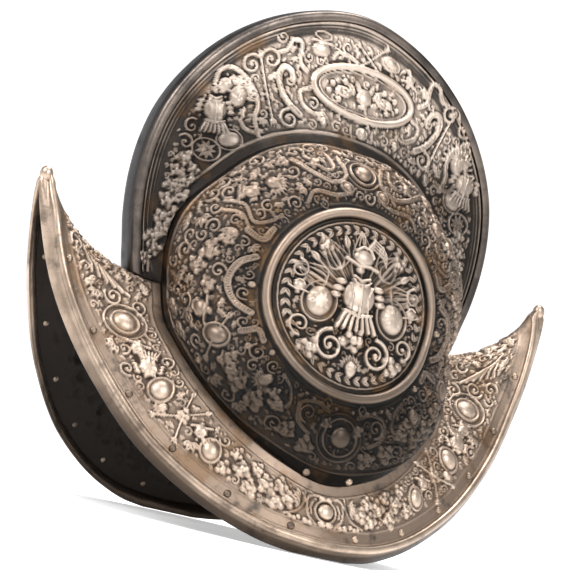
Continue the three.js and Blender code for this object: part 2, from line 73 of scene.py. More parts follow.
# The embossed shell: iron sheet in two halves that mirror each other across the comb. Each half is raised as
# one piece, bowl, comb wall and brim together, and the ornament is chased into it from both faces.
MM = 0.001
SHEET = 1.1
# Painted shade: through this value the inner face is painted near black.
INNER_FACE = 1.6  # what the inner face carries as its hollow value, above any on the outer face
HALF_LENGTH = 175.0
SEAM_GAP = 0.2
BRIM_EDGE = np.array([
    # place, half width, height
    [0.0, 0.4, 177.5],
    [0.12, 6.4, 153.7],
    [0.28, 19.9, 111.4],
    [0.45, 41.8, 68.6],
    [0.62, 64.0, 32.5],
    [0.8, 87.0, 8.6],
    [0.9, 97.8, 1.6],
    [1.0, 102.5, -0.6],
])
BOWL_FOOT = np.array([
    # place, half length, half width, height
    [0.0, 92.98, 15.0, 131.05],
    [0.13, 92.0, 26.0, 113.0],
    [0.27, 86.0, 43.0, 97.0],
    [0.54, 62.5, 67.5, 69.0],
    [0.78, 33.0, 86.0, 49.5],
    [1.0, 0.0, 91.5, 40.3],
])
COMB_CENTRE = 167.3
COMB_CROWN = np.array([
    # angle, radius
    [-18.4, 115.3],
    [-10.0, 115.5],
    [0.0, 118.2],
    [10.0, 122.2],
    [20.0, 126.9],
    [30.0, 131.7],
    [45.0, 137.4],
    [60.0, 143.0],
    [75.0, 147.9],
    [90.0, 151.2],
])
BOWL_ARC = np.array([
    # angle, radius, half width
    [-21.3, 99.8, 15.0],
    [0.0, 95.9, 17.0],
    [25.0, 81.3, 19.5],
    [50.0, 74.6, 22.0],
    [70.0, 70.6, 23.5],
    [90.0, 68.6, 24.0],
])
BOWL_MIDDLE = np.array([
    # height, half width
    [40.3, 91.5],
    [55.0, 94.0],
    [69.0, 94.5],
    [100.0, 89.0],
    [143.0, 79.0],
    [180.0, 70.5],
    [200.0, 63.0],
    [218.0, 51.5],
    [230.0, 36.5],
    [235.9, 24.0],
])
CREST = np.array([
    # distance along x, height
    [106.6, 131.8],
    [115.0, 132.4],
    [127.0, 136.8],
    [140.0, 144.4],
    [152.0, 154.4],
    [160.0, 163.5],
    [165.0, 171.0],
    [168.6, 177.5],
])
ARC_FOOT = -21.3
CROWN_FOOT = -18.4
WALL_TOP = 7.3
WALL_INSET = 3.6
WALL_SWEEP = 2.2
BOWL_FULLNESS = 2.4
TURN_OUT = 6.0
TURN_UNDER = 6.0
TURN_START = 0.16
SHEET_SHORT = 0.7
MEDALLION_HEIGHT = 143.5
MEDALLION_RADIUS = 54.5
MEDALLION_SQUASH = 0.965


def smooth_curve(rows, column, mirrored=True):
    """The value in a column of a table against its first column, on a smooth curve through the rows."""
    t = rows[:, 0]
    v = rows[:, column]
    if mirrored:
        t = np.concatenate([t, 2 * t[-1] - t[-2::-1]])
        v = np.concatenate([v, v[-2::-1]])
    run = np.diff(v) / np.diff(t)
    slope = np.concatenate([run[:1], run[:-1], run[-1:]])
    inner = run[:-1] * run[1:]
    total = run[:-1] + run[1:]
    total = np.where(np.abs(total) < 1e-9, 1, total)
    slope = np.concatenate([run[:1], np.where(inner > 0, 2 * inner / total, 0), run[-1:]])

    def value(x):
        q = np.clip(x, t[0], t[-1])
        i = np.clip(np.searchsorted(t, q, side="right") - 1, 0, len(t) - 2)
        span = t[i + 1] - t[i]
        f = (q - t[i]) / span
        g = 1 - f
        low = (1 + 2 * f) * g * g * v[i] + f * g * g * span * slope[i]
        return low + f * f * (3 - 2 * f) * v[i + 1] - f * f * g * span * slope[i + 1]

    return value


edge_width = smooth_curve(BRIM_EDGE, 1)
edge_height = smooth_curve(BRIM_EDGE, 2)
foot_length = smooth_curve(BOWL_FOOT, 1, mirrored=False)
foot_width = smooth_curve(BOWL_FOOT, 2)
foot_height = smooth_curve(BOWL_FOOT, 3)
crown_radius = smooth_curve(COMB_CROWN, 1)
arc_radius = smooth_curve(BOWL_ARC, 1)
arc_width = smooth_curve(BOWL_ARC, 2)
middle_width = smooth_curve(BOWL_MIDDLE, 1, mirrored=False)
crest_height = smooth_curve(CREST, 1, mirrored=False)


def edge_point(s):
    """The brim's turned edge, from the front point at 0 past the middle at 1 to the back one at 2."""
    return np.stack([-HALF_LENGTH * np.cos(s * math.pi / 2), -edge_width(s), edge_height(s)], -1)


def foot_point(k):
    """The bowl's foot, from under the comb at the front at 0 to the same at the back at 2."""
    x = np.where(k <= 1, -foot_length(k), foot_length(2 - k))
    return np.stack([x, -foot_width(k), foot_height(k)], -1)


def arc_point(w):
    """The line where the comb rises from the bowl, from the front at 0 to the back at 1."""
    angle = ARC_FOOT + w * (180 - 2 * ARC_FOOT)
    radius = arc_radius(angle)
    turn = np.radians(angle)
    return np.stack([-radius * np.cos(turn), -arc_width(angle), COMB_CENTRE + radius * np.sin(turn)], -1)


def crown_point(w, inset):
    """The comb's edge, from the front at 0 to the back at 1, drawn in by an inset."""
    angle = CROWN_FOOT + w * (180 - 2 * CROWN_FOOT)
    radius = crown_radius(angle) - inset
    turn = np.radians(angle)
    side = np.full_like(turn, -WALL_TOP)
    return np.stack([-radius * np.cos(turn), side, COMB_CENTRE + radius * np.sin(turn)], -1)


def wall_point(w, v):
    """The comb's wall, from under its edge at v 0 down to the bowl at v 1."""
    top = crown_point(w, WALL_INSET)
    low = arc_point(w)
    point = top + (low - top) * v[..., None]
    point[..., 1] = top[..., 1] + (low[..., 1] - top[..., 1]) * v ** WALL_SWEEP
    return point


foot_line = foot_point(np.linspace(1, 0, 400))
arc_line = arc_point(np.linspace(0, 0.5, 400)[1:])
outline = np.concatenate([foot_line, arc_line])


def bowl_width(x, z):
    """How far the bowl stands out sideways at a place along and a height."""
    length = np.interp(z, outline[:, 2], -outline[:, 0])
    side = np.interp(z, outline[:, 2], -outline[:, 1])
    across = np.clip(np.abs(x) / np.maximum(length, 1e-6), 0, 1)
    return side + (middle_width(z) - side) * np.sqrt(1 - across ** BOWL_FULLNESS)


# The embossing. Every form is drawn on a flat board, as a chaser sketches it before the hammer work, and the
# board's heights then raise the sheet.
class Relief:
    """A flat drawing board on which raised work is built up, in millimetres of height.

    Where two forms cross, the higher one shows, so nothing drawn later covers what stands above it.
    """

    def __init__(self, left, low, right, high, pitch=0.45):
        self.left = left
        self.low = low
        self.pitch = pitch
        across = int((right - left) / pitch) + 1
        up = int((high - low) / pitch) + 1
        self.x, self.z = np.meshgrid(left + pitch * np.arange(across), low + pitch * np.arange(up))
        self.height = np.zeros_like(self.x)
        self.random = np.random.default_rng(7)

    def window(self, x, z, reach):
        """The part of the board within reach of a point."""
        i0 = max(int((x - reach - self.left) / self.pitch), 0)
        i1 = max(int((x + reach - self.left) / self.pitch) + 2, 0)
        j0 = max(int((z - reach - self.low) / self.pitch), 0)
        j1 = max(int((z + reach - self.low) / self.pitch) + 2, 0)
        return slice(j0, j1), slice(i0, i1)

    def lift(self, part, height):
        """Raises a part of the board to a height, where it isn't higher yet."""
        self.height[part] = np.maximum(self.height[part], height)

    def line(self, points, width, height, taper=1.0, flat=False):
        """A raised line, rounded on top, or a flat strap with raised borders. It narrows by taper."""
        points = np.asarray(points, float)
        count = len(points) - 1
        for n in range(count):
            a = points[n]
            b = points[n + 1]
            share = 1 + (taper - 1) * (n + 0.5) / count
            half = 0.5 * width * share
            middle = (a + b) / 2
            part = self.window(middle[0], middle[1], half + np.hypot(*(b - a)) / 2 + 0.5)
            px = self.x[part] - a[0]
            pz = self.z[part] - a[1]
            d = b - a
            f = np.clip((px * d[0] + pz * d[1]) / max(d @ d, 1e-9), 0, 1)
            off = np.hypot(px - f * d[0], pz - f * d[1]) / half
            if flat:
                top = np.where(off > 0.62, 1.0, 0.62)
                shape = top * np.clip((1 - off) * 5, 0, 1)
            else:
                shape = np.sqrt(np.clip(1 - off * off, 0, 1))
            self.lift(part, shape * height * (0.55 + 0.45 * share))

    def dome(self, x, z, a, b, height, turn=0.0, base=0.0, power=0.5):
        """A rounded swelling with an oval foot."""
        part = self.window(x, z, max(a, b) + 0.5)
        c = math.cos(turn)
        s = math.sin(turn)
        px = self.x[part] - x
        pz = self.z[part] - z
        u = (px * c + pz * s) / a
        w = (pz * c - px * s) / b
        inside = np.clip(1 - u * u - w * w, 0, 1)
        self.lift(part, np.where(inside > 0, base + (height - base) * inside ** power, 0))

    def ring(self, x, z, a, b, width, height, turn=0.0):
        t = np.linspace(0, 2 * math.pi, 49)
        c = math.cos(turn)
        s = math.sin(turn)
        u = a * np.cos(t)
        w = b * np.sin(t)
        self.line(np.stack([x + u * c - w * s, z + u * s + w * c], -1), width, height)

    def scroll(self, x, z, size, turn, side=1, coils=1.35, width=2.2, height=1.5, flat=False):
        """A C-scroll that winds into a small button."""
        t = np.linspace(0, 1, 30)
        angle = turn + side * t * coils * 2 * math.pi
        radius = size * (1 - t) ** 0.85 + size * 0.12
        coil = np.stack([x + radius * np.cos(angle), z + radius * np.sin(angle)], -1)
        self.line(coil, width, height, 0.55, flat)
        self.dome(x, z, size * 0.24, size * 0.24, height * 1.15)

    def leaf(self, x, z, length, breadth, turn, height=1.3):
        """A pointed leaf, high along its two lobes and cut along its midrib."""
        half_way = (x + 0.5 * length * math.cos(turn), z + 0.5 * length * math.sin(turn))
        part = self.window(*half_way, 0.6 * length + 1)
        px = self.x[part] - x
        pz = self.z[part] - z
        u = (px * math.cos(turn) + pz * math.sin(turn)) / length
        w = (pz * math.cos(turn) - px * math.sin(turn)) / breadth
        half = 0.5 * np.sin(math.pi * np.clip(u, 0, 1) ** 0.8)
        off = np.abs(w) / np.maximum(half, 1e-6)
        shape = np.sqrt(np.clip(1 - (2 * off - 1) ** 2, 0, 1)) * (u > 0) * (u < 1)
        self.lift(part, height * shape * (0.6 + 0.4 * np.sin(math.pi * np.clip(u, 0, 1))))

    def bunch(self, x, z, size, height=2.6):
        """A bunch of round fruit on a bed of leaves."""
        lean = self.random.random() * 6.28
        for n in range(6):
            self.leaf(x, z, size * 1.12, size * 1.1, lean + n * math.pi / 3, height * 0.5)
        for n in range(6):
            turn = lean + n * 2.4
            out = size * 0.45 * math.sqrt(n)
            fruit = size * (0.34 + 0.2 * self.random.random())
            top = height * (1 - 0.06 * n)
            self.dome(x + out * math.cos(turn), z + out * math.sin(turn), fruit, fruit, top, base=0.1 * top)

    def shield(self, x, z, a, b, turn=0.0, height=3.0):
        """A plain domed shield in a rolled border."""
        self.dome(x, z, a * 1.12, b * 1.12, 1.2, turn, power=0.15)
        self.ring(x, z, a, b, 1.7, 2.0, turn)
        self.dome(x, z, a * 0.78, b * 0.78, height, turn, base=0.8, power=0.6)

    def place(self, x, z, turn, size, u, w):
        """Where a point of a form's own drawing falls on the board."""
        c = math.cos(turn)
        s = math.sin(turn)
        return x + size * (u * c - w * s), z + size * (u * s + w * c)

    def path(self, x, z, turn, size, pairs):
        return np.array([self.place(x, z, turn, size, u, w) for u, w in pairs])

    def helmet(self, x, z, size, turn=0.0, side=1, height=3.2):
        """A closed helmet seen from the side, with a brim, a comb and a plume."""
        def drawn(*pairs):
            return self.path(x, z, turn, size, [(side * u, w) for u, w in pairs])

        at = self.place(x, z, turn, size, 0.0, 0.1)
        self.dome(*at, size * 0.62, size * 0.52, height, turn, base=0.8)
        self.line(drawn((-0.9, -0.42), (-0.4, -0.3), (0.3, -0.34), (1.0, -0.1)), size * 0.26, height * 0.85)
        self.line(drawn((-0.55, 0.2), (-0.3, 0.58), (0.1, 0.68), (0.5, 0.42)), size * 0.2, height)
        for n in range(4):
            rise = 0.55 + 0.17 * n
            plume = drawn((-0.1, 0.55), (-0.6, rise + 0.15), (-1.15, rise - 0.15), (-1.45, rise - 0.6))
            self.line(plume, size * 0.17, height * 0.7, 0.5)
        cheek = self.place(x, z, turn, size, 0.1 * side, -0.55)
        self.dome(*cheek, size * 0.3, size * 0.26, height * 0.7, turn, base=0.6)

    def cuirass(self, x, z, size, turn=0.0, height=3.4):
        """A breastplate with shoulder lames and a short pleated skirt."""
        def drawn(*pairs):
            return self.path(x, z, turn, size, pairs)

        chest = self.place(x, z, turn, size, 0, 0.12)
        belly = self.place(x, z, turn, size, 0, -0.3)
        self.dome(*chest, size * 0.62, size * 0.62, height, turn, base=1.2)
        self.dome(*belly, size * 0.46, size * 0.4, height * 0.85, turn, base=1.0)
        self.line(drawn((0, 0.5), (0, -0.56)), size * 0.1 + 0.4, height * 1.12)
        neck = drawn((-0.34, 0.66), (-0.16, 0.5), (0.16, 0.5), (0.34, 0.66))
        self.line(neck, size * 0.07 + 0.4, height * 1.08)
        self.line(drawn((-0.42, -0.5), (0, -0.62), (0.42, -0.5)), size * 0.08 + 0.4, height * 1.08)
        for side in (-1, 1):
            seam = drawn((side * 0.44, 0.5), (side * 0.3, 0.1), (side * 0.34, -0.42))
            self.line(seam, size * 0.05 + 0.3, height * 1.08)
        for u in (-0.72, 0.72):
            for n in range(3):
                at = self.place(x, z, turn, size, u * (1 + 0.1 * n), 0.5 - 0.24 * n)
                self.dome(*at, size * 0.22, size * 0.13, height * (0.85 - 0.1 * n), turn, base=1.0)
        for n in range(7):
            u = -0.6 + 0.2 * n
            self.line(drawn((u * 0.75, -0.5), (u * 1.2, -1.05)), size * 0.19, height * 0.8, 1.2)
        self.line(drawn((-0.52, -0.46), (0, -0.56), (0.52, -0.46)), size * 0.14, height * 0.95)
        self.line(drawn((-0.3, 0.78), (0, 0.66), (0.3, 0.78)), size * 0.16, height * 0.9)

    def mask(self, x, z, size, turn=0.0, height=3.0):
        """A small grotesque mask: oval face, brows, nose, mouth, and a fringe of curled leaves."""
        def drawn(*pairs):
            return self.path(x, z, turn, size, pairs)

        for n in range(10):
            lean = turn + math.pi * (0.05 + n / 9 * 0.9)
            root = self.place(x, z, 0, size, 0.45 * math.cos(lean), 0.5 * math.sin(lean))
            self.leaf(*root, size * 0.75, size * 0.3, lean, height * 0.6)
        self.dome(x, z, size * 0.5, size * 0.66, height, turn, base=0.9)
        for u in (-0.2, 0.2):
            eye = self.place(x, z, turn, size, u, 0.14)
            self.dome(*eye, size * 0.13, size * 0.08, height * 1.12, turn, base=2)
            brow = drawn((u * 0.4, 0.24), (u * 1.1, 0.34), (u * 1.9, 0.22))
            self.line(brow, size * 0.1, height * 1.15)
            cheek = self.place(x, z, turn, size, u * 1.1, -0.16)
            self.dome(*cheek, size * 0.14, size * 0.13, height * 1.05, turn, base=2)
        self.line(drawn((0, 0.24), (0, -0.1)), size * 0.13, height * 1.3)
        self.line(drawn((-0.16, -0.34), (0, -0.3), (0.16, -0.34)), size * 0.09, height * 1.1)

    def rod(self, x0, z0, x1, z1, width=1.2, height=1.6):
        """A lance with a leaf point and a tassel."""
        self.line([(x0, z0), (x1, z1)], width, height)
        turn = math.atan2(z1 - z0, x1 - x0)
        self.leaf(x1, z1, width * 4.5, width * 2.6, turn, height)
        for n in (-1, 0, 1):
            self.leaf(x0, z0, width * 4, width * 1.2, turn + math.pi + 0.35 * n, height)

    def grow(self, inside, density):
        """Fills the plain places left inside a field with curls, leaves and beads, the largest first."""
        field = inside.copy()
        for size, count in ((5.0, 1500), (3.8, 2500), (2.8, 4500), (2.0, 8000), (1.3, 12000)):
            for fx, fz, lean, kind in self.random.random((int(count * density), 4)):
                x = self.x[0, 0] + fx * (self.x[0, -1] - self.x[0, 0])
                z = self.z[0, 0] + fz * (self.z[-1, 0] - self.z[0, 0])
                part = self.window(x, z, size * 0.62)
                if not field[part].all() or self.height[part].max() > 0.3:
                    continue
                turn = lean * 2 * math.pi
                way = 1 if kind > 0.5 else -1
                if size > 2.4 and kind < 0.3 or kind > 0.75:
                    self.scroll(x, z, size * 0.85, turn, way, 1.2, size * 0.2 + 0.9, 1.0 + 0.22 * size)
                elif size > 1.9:
                    for n in range(4):
                        self.leaf(x, z, size * 1.25, size * 0.7, turn + 0.7 * n, 0.9 + 0.26 * size)
                else:
                    self.dome(x, z, size * 0.9, size * 0.6, 1.5, turn, base=0.4)

    def blur(self, field, reach):
        """Mean over a square of that reach, twice."""
        n = max(int(reach / self.pitch), 1)
        for _ in range(2):
            for axis in (0, 1):
                wide = np.concatenate([np.repeat(field.take([0], axis), n + 1, axis), field,
                                       np.repeat(field.take([-1], axis), n, axis)], axis)
                run = np.cumsum(wide, axis)
                top = run.take(range(2 * n + 1, run.shape[axis]), axis)
                low = run.take(range(0, run.shape[axis] - 2 * n - 1), axis)
                field = (top - low) / (2 * n + 1)
        return field

    def read(self, field, x, z):
        """The value of a field of the board at any point of it."""
        u = np.clip((x - self.left) / self.pitch, 0, self.x.shape[1] - 1.001)
        w = np.clip((z - self.low) / self.pitch, 0, self.x.shape[0] - 1.001)
        i = u.astype(int)
        j = w.astype(int)
        fu = u - i
        fw = w - j
        low = field[j, i] * (1 - fu) + field[j, i + 1] * fu
        high = field[j + 1, i] * (1 - fu) + field[j + 1, i + 1] * fu
        return low * (1 - fw) + high * fw


def grid_normals(points):
    """Outward normals of a grid of points whose rows run away from the middle and columns to the back."""
    normal = np.cross(np.gradient(points, axis=0), np.gradient(points, axis=1))
    return normal / np.maximum(np.linalg.norm(normal, axis=-1, keepdims=True), 1e-9)


def lowest_near(height, reach):
    """The lowest value within reach of each place of a grid."""
    low = height
    for axis in (0, 1):
        best = low
        for shift in range(1, reach + 1):
            edge = [(0, 0), (0, 0)]
            edge[axis] = (shift, shift)
            wide = np.pad(low, edge, mode="edge")
            size = low.shape[axis]
            best = np.minimum(best, np.minimum(wide.take(range(0, size), axis),
                                               wide.take(range(2 * shift, 2 * shift + size), axis)))
        low = best
    return low


def cells(ids):
    """Two triangles for each cell of a grid of point numbers, facing outward."""
    a = ids[:-1, :-1].ravel()
    b = ids[1:, :-1].ravel()
    c = ids[1:, 1:].ravel()
    d = ids[:-1, 1:].ravel()
    return np.concatenate([np.stack([a, b, c], 1), np.stack([a, c, d], 1)])


def hem(outer, inner):
    """Triangles that close a sheet's border, from its outer face to an inner one with fewer points."""
    ratio = (len(outer) - 1) // (len(inner) - 1)
    n = np.arange(len(outer) - 1)
    tight = np.stack([outer[n + 1], outer[n], inner[n // ratio]], 1)
    m = np.arange(len(inner) - 1)
    loose = np.stack([outer[(m + 1) * ratio], inner[m], inner[m + 1]], 1)
    return np.concatenate([tight, loose])


def set_piece(name, mesh, finish, nodes):
    """Puts a finished mesh in place of its plain nodes, on the helmet's one body."""
    mesh.shade_smooth()
    mesh.materials.append(finish)
    piece = bpy.data.objects.new(name, mesh)
    bpy.context.collection.objects.link(piece)
    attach(piece, "root")
    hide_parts(*nodes)


def embossed(name, side, finish, base, height, worn_and_lit, sunk_and_shade, stride, closed=False):
    """A sheet with a raised outer face, and an inner face that follows it with fewer points.

    It carries how far each point is rubbed bright and how deep it lies, with painted light and painted shade
    in places, and marks its whole inner face for painted shade. The right side mirrors the left.
    """
    normal = grid_normals(base)
    if closed:
        lapped = np.concatenate([base[:, -4:-1], base, base[:, 1:4]], 1)
        normal = grid_normals(lapped)[:, 3:-3]
    outer = base + normal * height[..., None]
    under = lowest_near(height, stride // 2) - SHEET
    inner = (base + normal * under[..., None])[::stride, ::stride]
    a = np.arange(outer[..., 0].size).reshape(outer.shape[:2])
    b = a.size + np.arange(inner[..., 0].size).reshape(inner.shape[:2])
    fields = {
        "raise_and_light": np.concatenate([worn_and_lit.ravel(), np.zeros(b.size)]),
        "hollow_and_shade": np.concatenate([sunk_and_shade.ravel(), np.full(b.size, INNER_FACE)]),
    }
    if closed:
        a[:, -1] = a[:, 0]
        b[:, -1] = b[:, 0]
    faces = [cells(a), cells(b)[:, ::-1], hem(a[0], b[0])[:, ::-1], hem(a[-1], b[-1])]
    if not closed:
        faces += [hem(a[:, 0], b[:, 0]), hem(a[:, -1], b[:, -1])[:, ::-1]]
    used, faces = np.unique(np.concatenate(faces), return_inverse=True)
    faces = faces.reshape(-1, 3)
    points = np.concatenate([outer.reshape(-1, 3), inner.reshape(-1, 3)])[used] * MM
    if side == "right":
        points = points * (1, -1, 1)
        faces = faces[:, ::-1]
    mesh = bpy.data.meshes.new(name + "_" + side)
    mesh.from_pydata(points.tolist(), [], faces.tolist())
    for label, values in fields.items():
        field = mesh.attributes.new(label, "FLOAT", "POINT")
        field.data.foreach_set("value", values[used].astype(np.float32))
    set_piece(name + "_" + side, mesh, finish, ["shell_" + side])


# The metal's finish: iron rubbed bright where it stands out, brown on the flats and black in the hollows,
# where old dirt was left.
class Value:
    """A socket of a material, so that a sum on values reads as one."""

    def __init__(self, finish, socket):
        self.finish = finish
        self.socket = socket

    def math(self, operation, a, b):
        """One step of arithmetic, where a and b are values or plain numbers."""
        return self.finish.node("ShaderNodeMath", {"operation": operation}, {0: a, 1: b})

    def __add__(self, other):
        return self.math("ADD", self, other)

    def __radd__(self, other):
        return self.math("ADD", other, self)

    def __sub__(self, other):
        return self.math("SUBTRACT", self, other)

    def __rsub__(self, other):
        return self.math("SUBTRACT", other, self)

    def __mul__(self, other):
        return self.math("MULTIPLY", self, other)

    def __rmul__(self, other):
        return self.math("MULTIPLY", other, self)

    def clamp(self):
        return self.finish.node("ShaderNodeClamp", {}, {0: self})

    def band(self, low, high):
        """0 below low and 1 above high, smooth between."""
        return self.finish.node("ShaderNodeMapRange", {"interpolation_type": "SMOOTHSTEP"},
                                {"Value": self, "From Min": low, "From Max": high})


class Finish:
    """A metal finish: its material, and the one way its nodes are added."""

    def __init__(self, name):
        self.material = bpy.data.materials.new(name)
        self.material.use_nodes = True
        self.tree = self.material.node_tree
        self.tree.nodes.clear()

    def node(self, kind, settings, sockets, output=0):
        """Adds a node, sets it, and joins or fills its sockets. It gives back one output as a value."""
        made = self.tree.nodes.new(kind)
        for name, setting in settings.items():
            setattr(made, name, setting)
        for key, value in sockets.items():
            if isinstance(value, Value):
                self.tree.links.new(value.socket, made.inputs[key])
            else:
                made.inputs[key].default_value = value
        return Value(self, made.outputs[output])

    def place(self):
        """Where a point lies on the object, in metres."""
        return self.node("ShaderNodeTexCoord", {}, {}, "Object")

    def noise(self, scale, detail=4.0, rough=0.6):
        sockets = {"Vector": self.place(), "Scale": scale, "Detail": detail, "Roughness": rough}
        return self.node("ShaderNodeTexNoise", {}, sockets, "Fac")

    def field(self, label):
        """A value that the points of the mesh carry."""
        return self.node("ShaderNodeAttribute", {"attribute_name": label}, {}, "Fac")

    def mix(self, share, low, high):
        sockets = {0: share, 6: low, 7: high}
        return self.node("ShaderNodeMix", {"data_type": "RGBA"}, sockets, 2)

    def skin(self, colour, metallic, roughness, height, depth, **constants):
        """The surface itself. Height is a bump in metres times depth."""
        bump = self.node("ShaderNodeBump", {}, {"Height": height, "Distance": depth, "Strength": 1.0})
        sockets = {"Base Color": colour, "Metallic": metallic, "Roughness": roughness, "Normal": bump}
        sockets.update(constants)
        surface = self.node("ShaderNodeBsdfPrincipled", {}, sockets)
        end = self.tree.nodes.new("ShaderNodeOutputMaterial")
        self.tree.links.new(surface.socket, end.inputs["Surface"])
        return self.material


def tone(red, green, blue):
    """A colour as a screen shows it, made linear for the shader."""
    parts = [value / 255 for value in (red, green, blue)]
    linear = [part / 12.92 if part < 0.04045 else ((part + 0.055) / 1.055) ** 2.4 for part in parts]
    return (*linear, 1.0)


def patina(name, high, middle, low, dark, lit_from, lit_to, shade_factor):
    """Worn metal: bright on the raised work, browned on the flats, black where dirt has stayed.

    It is darker below a height, as painted shade where the lamps reach it less, and its inner face is
    painted near black, as shade.
    """
    finish = Finish(name)
    # This field carries wear on the raised work and, on the comb's upper ornament, a painted light.
    raised = finish.field("raise_and_light")
    hollow_and_shade = finish.field("hollow_and_shade")
    cloud = finish.noise(28.0)
    grain = finish.noise(420.0, 3.0)
    worn_and_lit = (raised + (cloud - 0.5) * 0.4 + (grain - 0.5) * 0.25).band(0.2, 0.95)
    flat = finish.mix((raised + (cloud - 0.5) * 0.5).band(0.02, 0.36), low, middle)
    shown = finish.mix(worn_and_lit, flat, high)
    tarnish = finish.noise(75.0, 5.0).band(0.52, 0.72) * (1 - worn_and_lit) * 0.75
    shown = finish.mix(tarnish, shown, tone(54, 54, 55))
    stain = finish.noise(44.0, 5.0).band(0.49, 0.64) * (1 - worn_and_lit * 0.7) * 0.55
    shown = finish.mix(stain, shown, tone(120, 91, 62))
    sunk_and_shade = (hollow_and_shade + (grain - 0.5) * 0.3).band(0.12, 0.85)
    shown = finish.mix(sunk_and_shade, shown, dark)
    # Painted shade: the inner face, marked by the highest value of this field, is painted near black.
    inside = hollow_and_shade.band(INNER_FACE - 0.45, INNER_FACE - 0.15)
    shown = finish.mix(inside * 0.8, shown, tone(28, 22, 17))
    # Painted shade: below a height the colour is multiplied darker, for the lower parts that the lamps light
    # less.
    upward = finish.node("ShaderNodeSeparateXYZ", {}, {"Vector": finish.place()}, "Z")
    lit_share = (upward + (cloud - 0.5) * 0.03).band(lit_from, lit_to)
    shade = finish.mix(lit_share, (shade_factor, shade_factor, shade_factor, 1), (1, 1, 1, 1))
    shown = finish.node("ShaderNodeMix", {"data_type": "RGBA", "blend_type": "MULTIPLY"},
                        {0: 1.0, 6: shown, 7: shade}, 2)
    rough = (0.37 + 0.22 * sunk_and_shade + 0.16 * grain + 0.12 * tarnish - 0.04 * worn_and_lit).clamp()
    metallic = (1.0 - 0.45 * sunk_and_shade).clamp()
    relief = grain * 0.5 + finish.noise(1500.0, 2.0) * 0.5
    return finish.skin(shown, metallic, rough, relief, 0.00025)


# The last three numbers are painted shade: below the first height, in metres, the colour is multiplied by
# the last number; above the second it is left as it is.
comb_iron = patina("comb_iron", tone(208, 192, 178), tone(176, 160, 147),
                   tone(76, 70, 66), tone(24, 21, 19), 0.225, 0.27, 0.42)


def sunk_near(board, reach):
    """How far each place of a board lies below the mean of what is around it."""
    close = (board.blur(board.height, 0.5 * reach) - board.height) / 0.8
    wide = (board.blur(board.height, 1.5 * reach) - board.height) / 1.5
    return np.clip(np.maximum(close, wide), 0, 1)


def raise_of(board):
    """How far each place of a board stands out from what is around it, as rubbing hands would find it."""
    return np.clip((board.height - 0.5 * board.blur(board.height, 4.0)) / 2.1, 0, 1)


def turn_beside(turn, side):
    """An angle as it is at the front, or turned over for the back."""
    return turn if side > 0 else math.pi - turn


# The comb's two faces, raised from the same sheet. Strapwork, scrolls, trophies of arms and hung fruit lie
# round an oval frame, inside a plain band under the comb's edge and another along the bowl.
COMB_COLUMNS = 481
COMB_ROWS = 85
comb_board = Relief(-128, 128, 128, 322)
board_angle = np.degrees(np.arctan2(comb_board.z - COMB_CENTRE, -comb_board.x))
comb_inset = crown_radius(board_angle) - np.hypot(comb_board.x, comb_board.z - COMB_CENTRE)
comb_rise = np.hypot(comb_board.x, comb_board.z - COMB_CENTRE) - arc_radius(board_angle)

# Plain lines under the comb's edge and along the bowl.
line_angle = np.linspace(-17, 197, 200)
line_turn = np.radians(line_angle)
near_angle = np.where(line_angle > 90, 180 - line_angle, line_angle)
COMB_LINES = [
    # radius, width, height
    (crown_radius(near_angle) - 7.8, 1.6, 1.1),
    (crown_radius(near_angle) - 10.2, 1.2, 0.7),
    (crown_radius(near_angle) - 12.2, 1.0, 0.5),
    (arc_radius(near_angle) + 6.0, 2.2, 1.0),
]
for radius, width, height in COMB_LINES:
    line = np.stack([-radius * np.cos(line_turn), COMB_CENTRE + radius * np.sin(line_turn)], -1)
    comb_board.line(line, width, height)
OVAL = (9.0, 271.0)
comb_board.ring(*OVAL, 34.5, 15.5, 4.4, 2.8)
comb_board.ring(*OVAL, 30.6, 12.2, 1.3, 1.0)

# In the oval, an urn with two sprays of leaves and flowers, and a bird's wing of leaves on each side.
comb_board.dome(9, 269, 5.2, 4.6, 3.0, base=1.0)
comb_board.dome(9, 263.5, 3.4, 1.5, 2.0, base=0.8)
comb_board.line([(4.0, 273.8), (14.0, 273.8)], 1.8, 2.4)
for side in (-1, 1):
    comb_board.scroll(9 + side * 7.6, 271.5, 2.6, math.pi / 2, -side, 1.1, 1.2, 1.7)
    for reach, lean, size in ((5, 1.25, 7), (9, 0.75, 8), (12, 0.2, 9), (12, -0.35, 8)):
        root = (9 + side * reach * 0.7, 272 - reach * 0.2)
        comb_board.leaf(*root, size + 2, size * 0.5, turn_beside(lean, side), 2.2)
    for dx, dz, size in ((14, 276, 2.0), (18, 269, 2.4), (22, 273, 1.9), (17, 264, 1.8), (24, 268, 1.7)):
        comb_board.dome(9 + side * dx, dz, size, size, 2.6, base=1.0)
    comb_board.scroll(9 + side * 19, 265, 3.0, 0, side, 1.2, 1.2, 1.5)

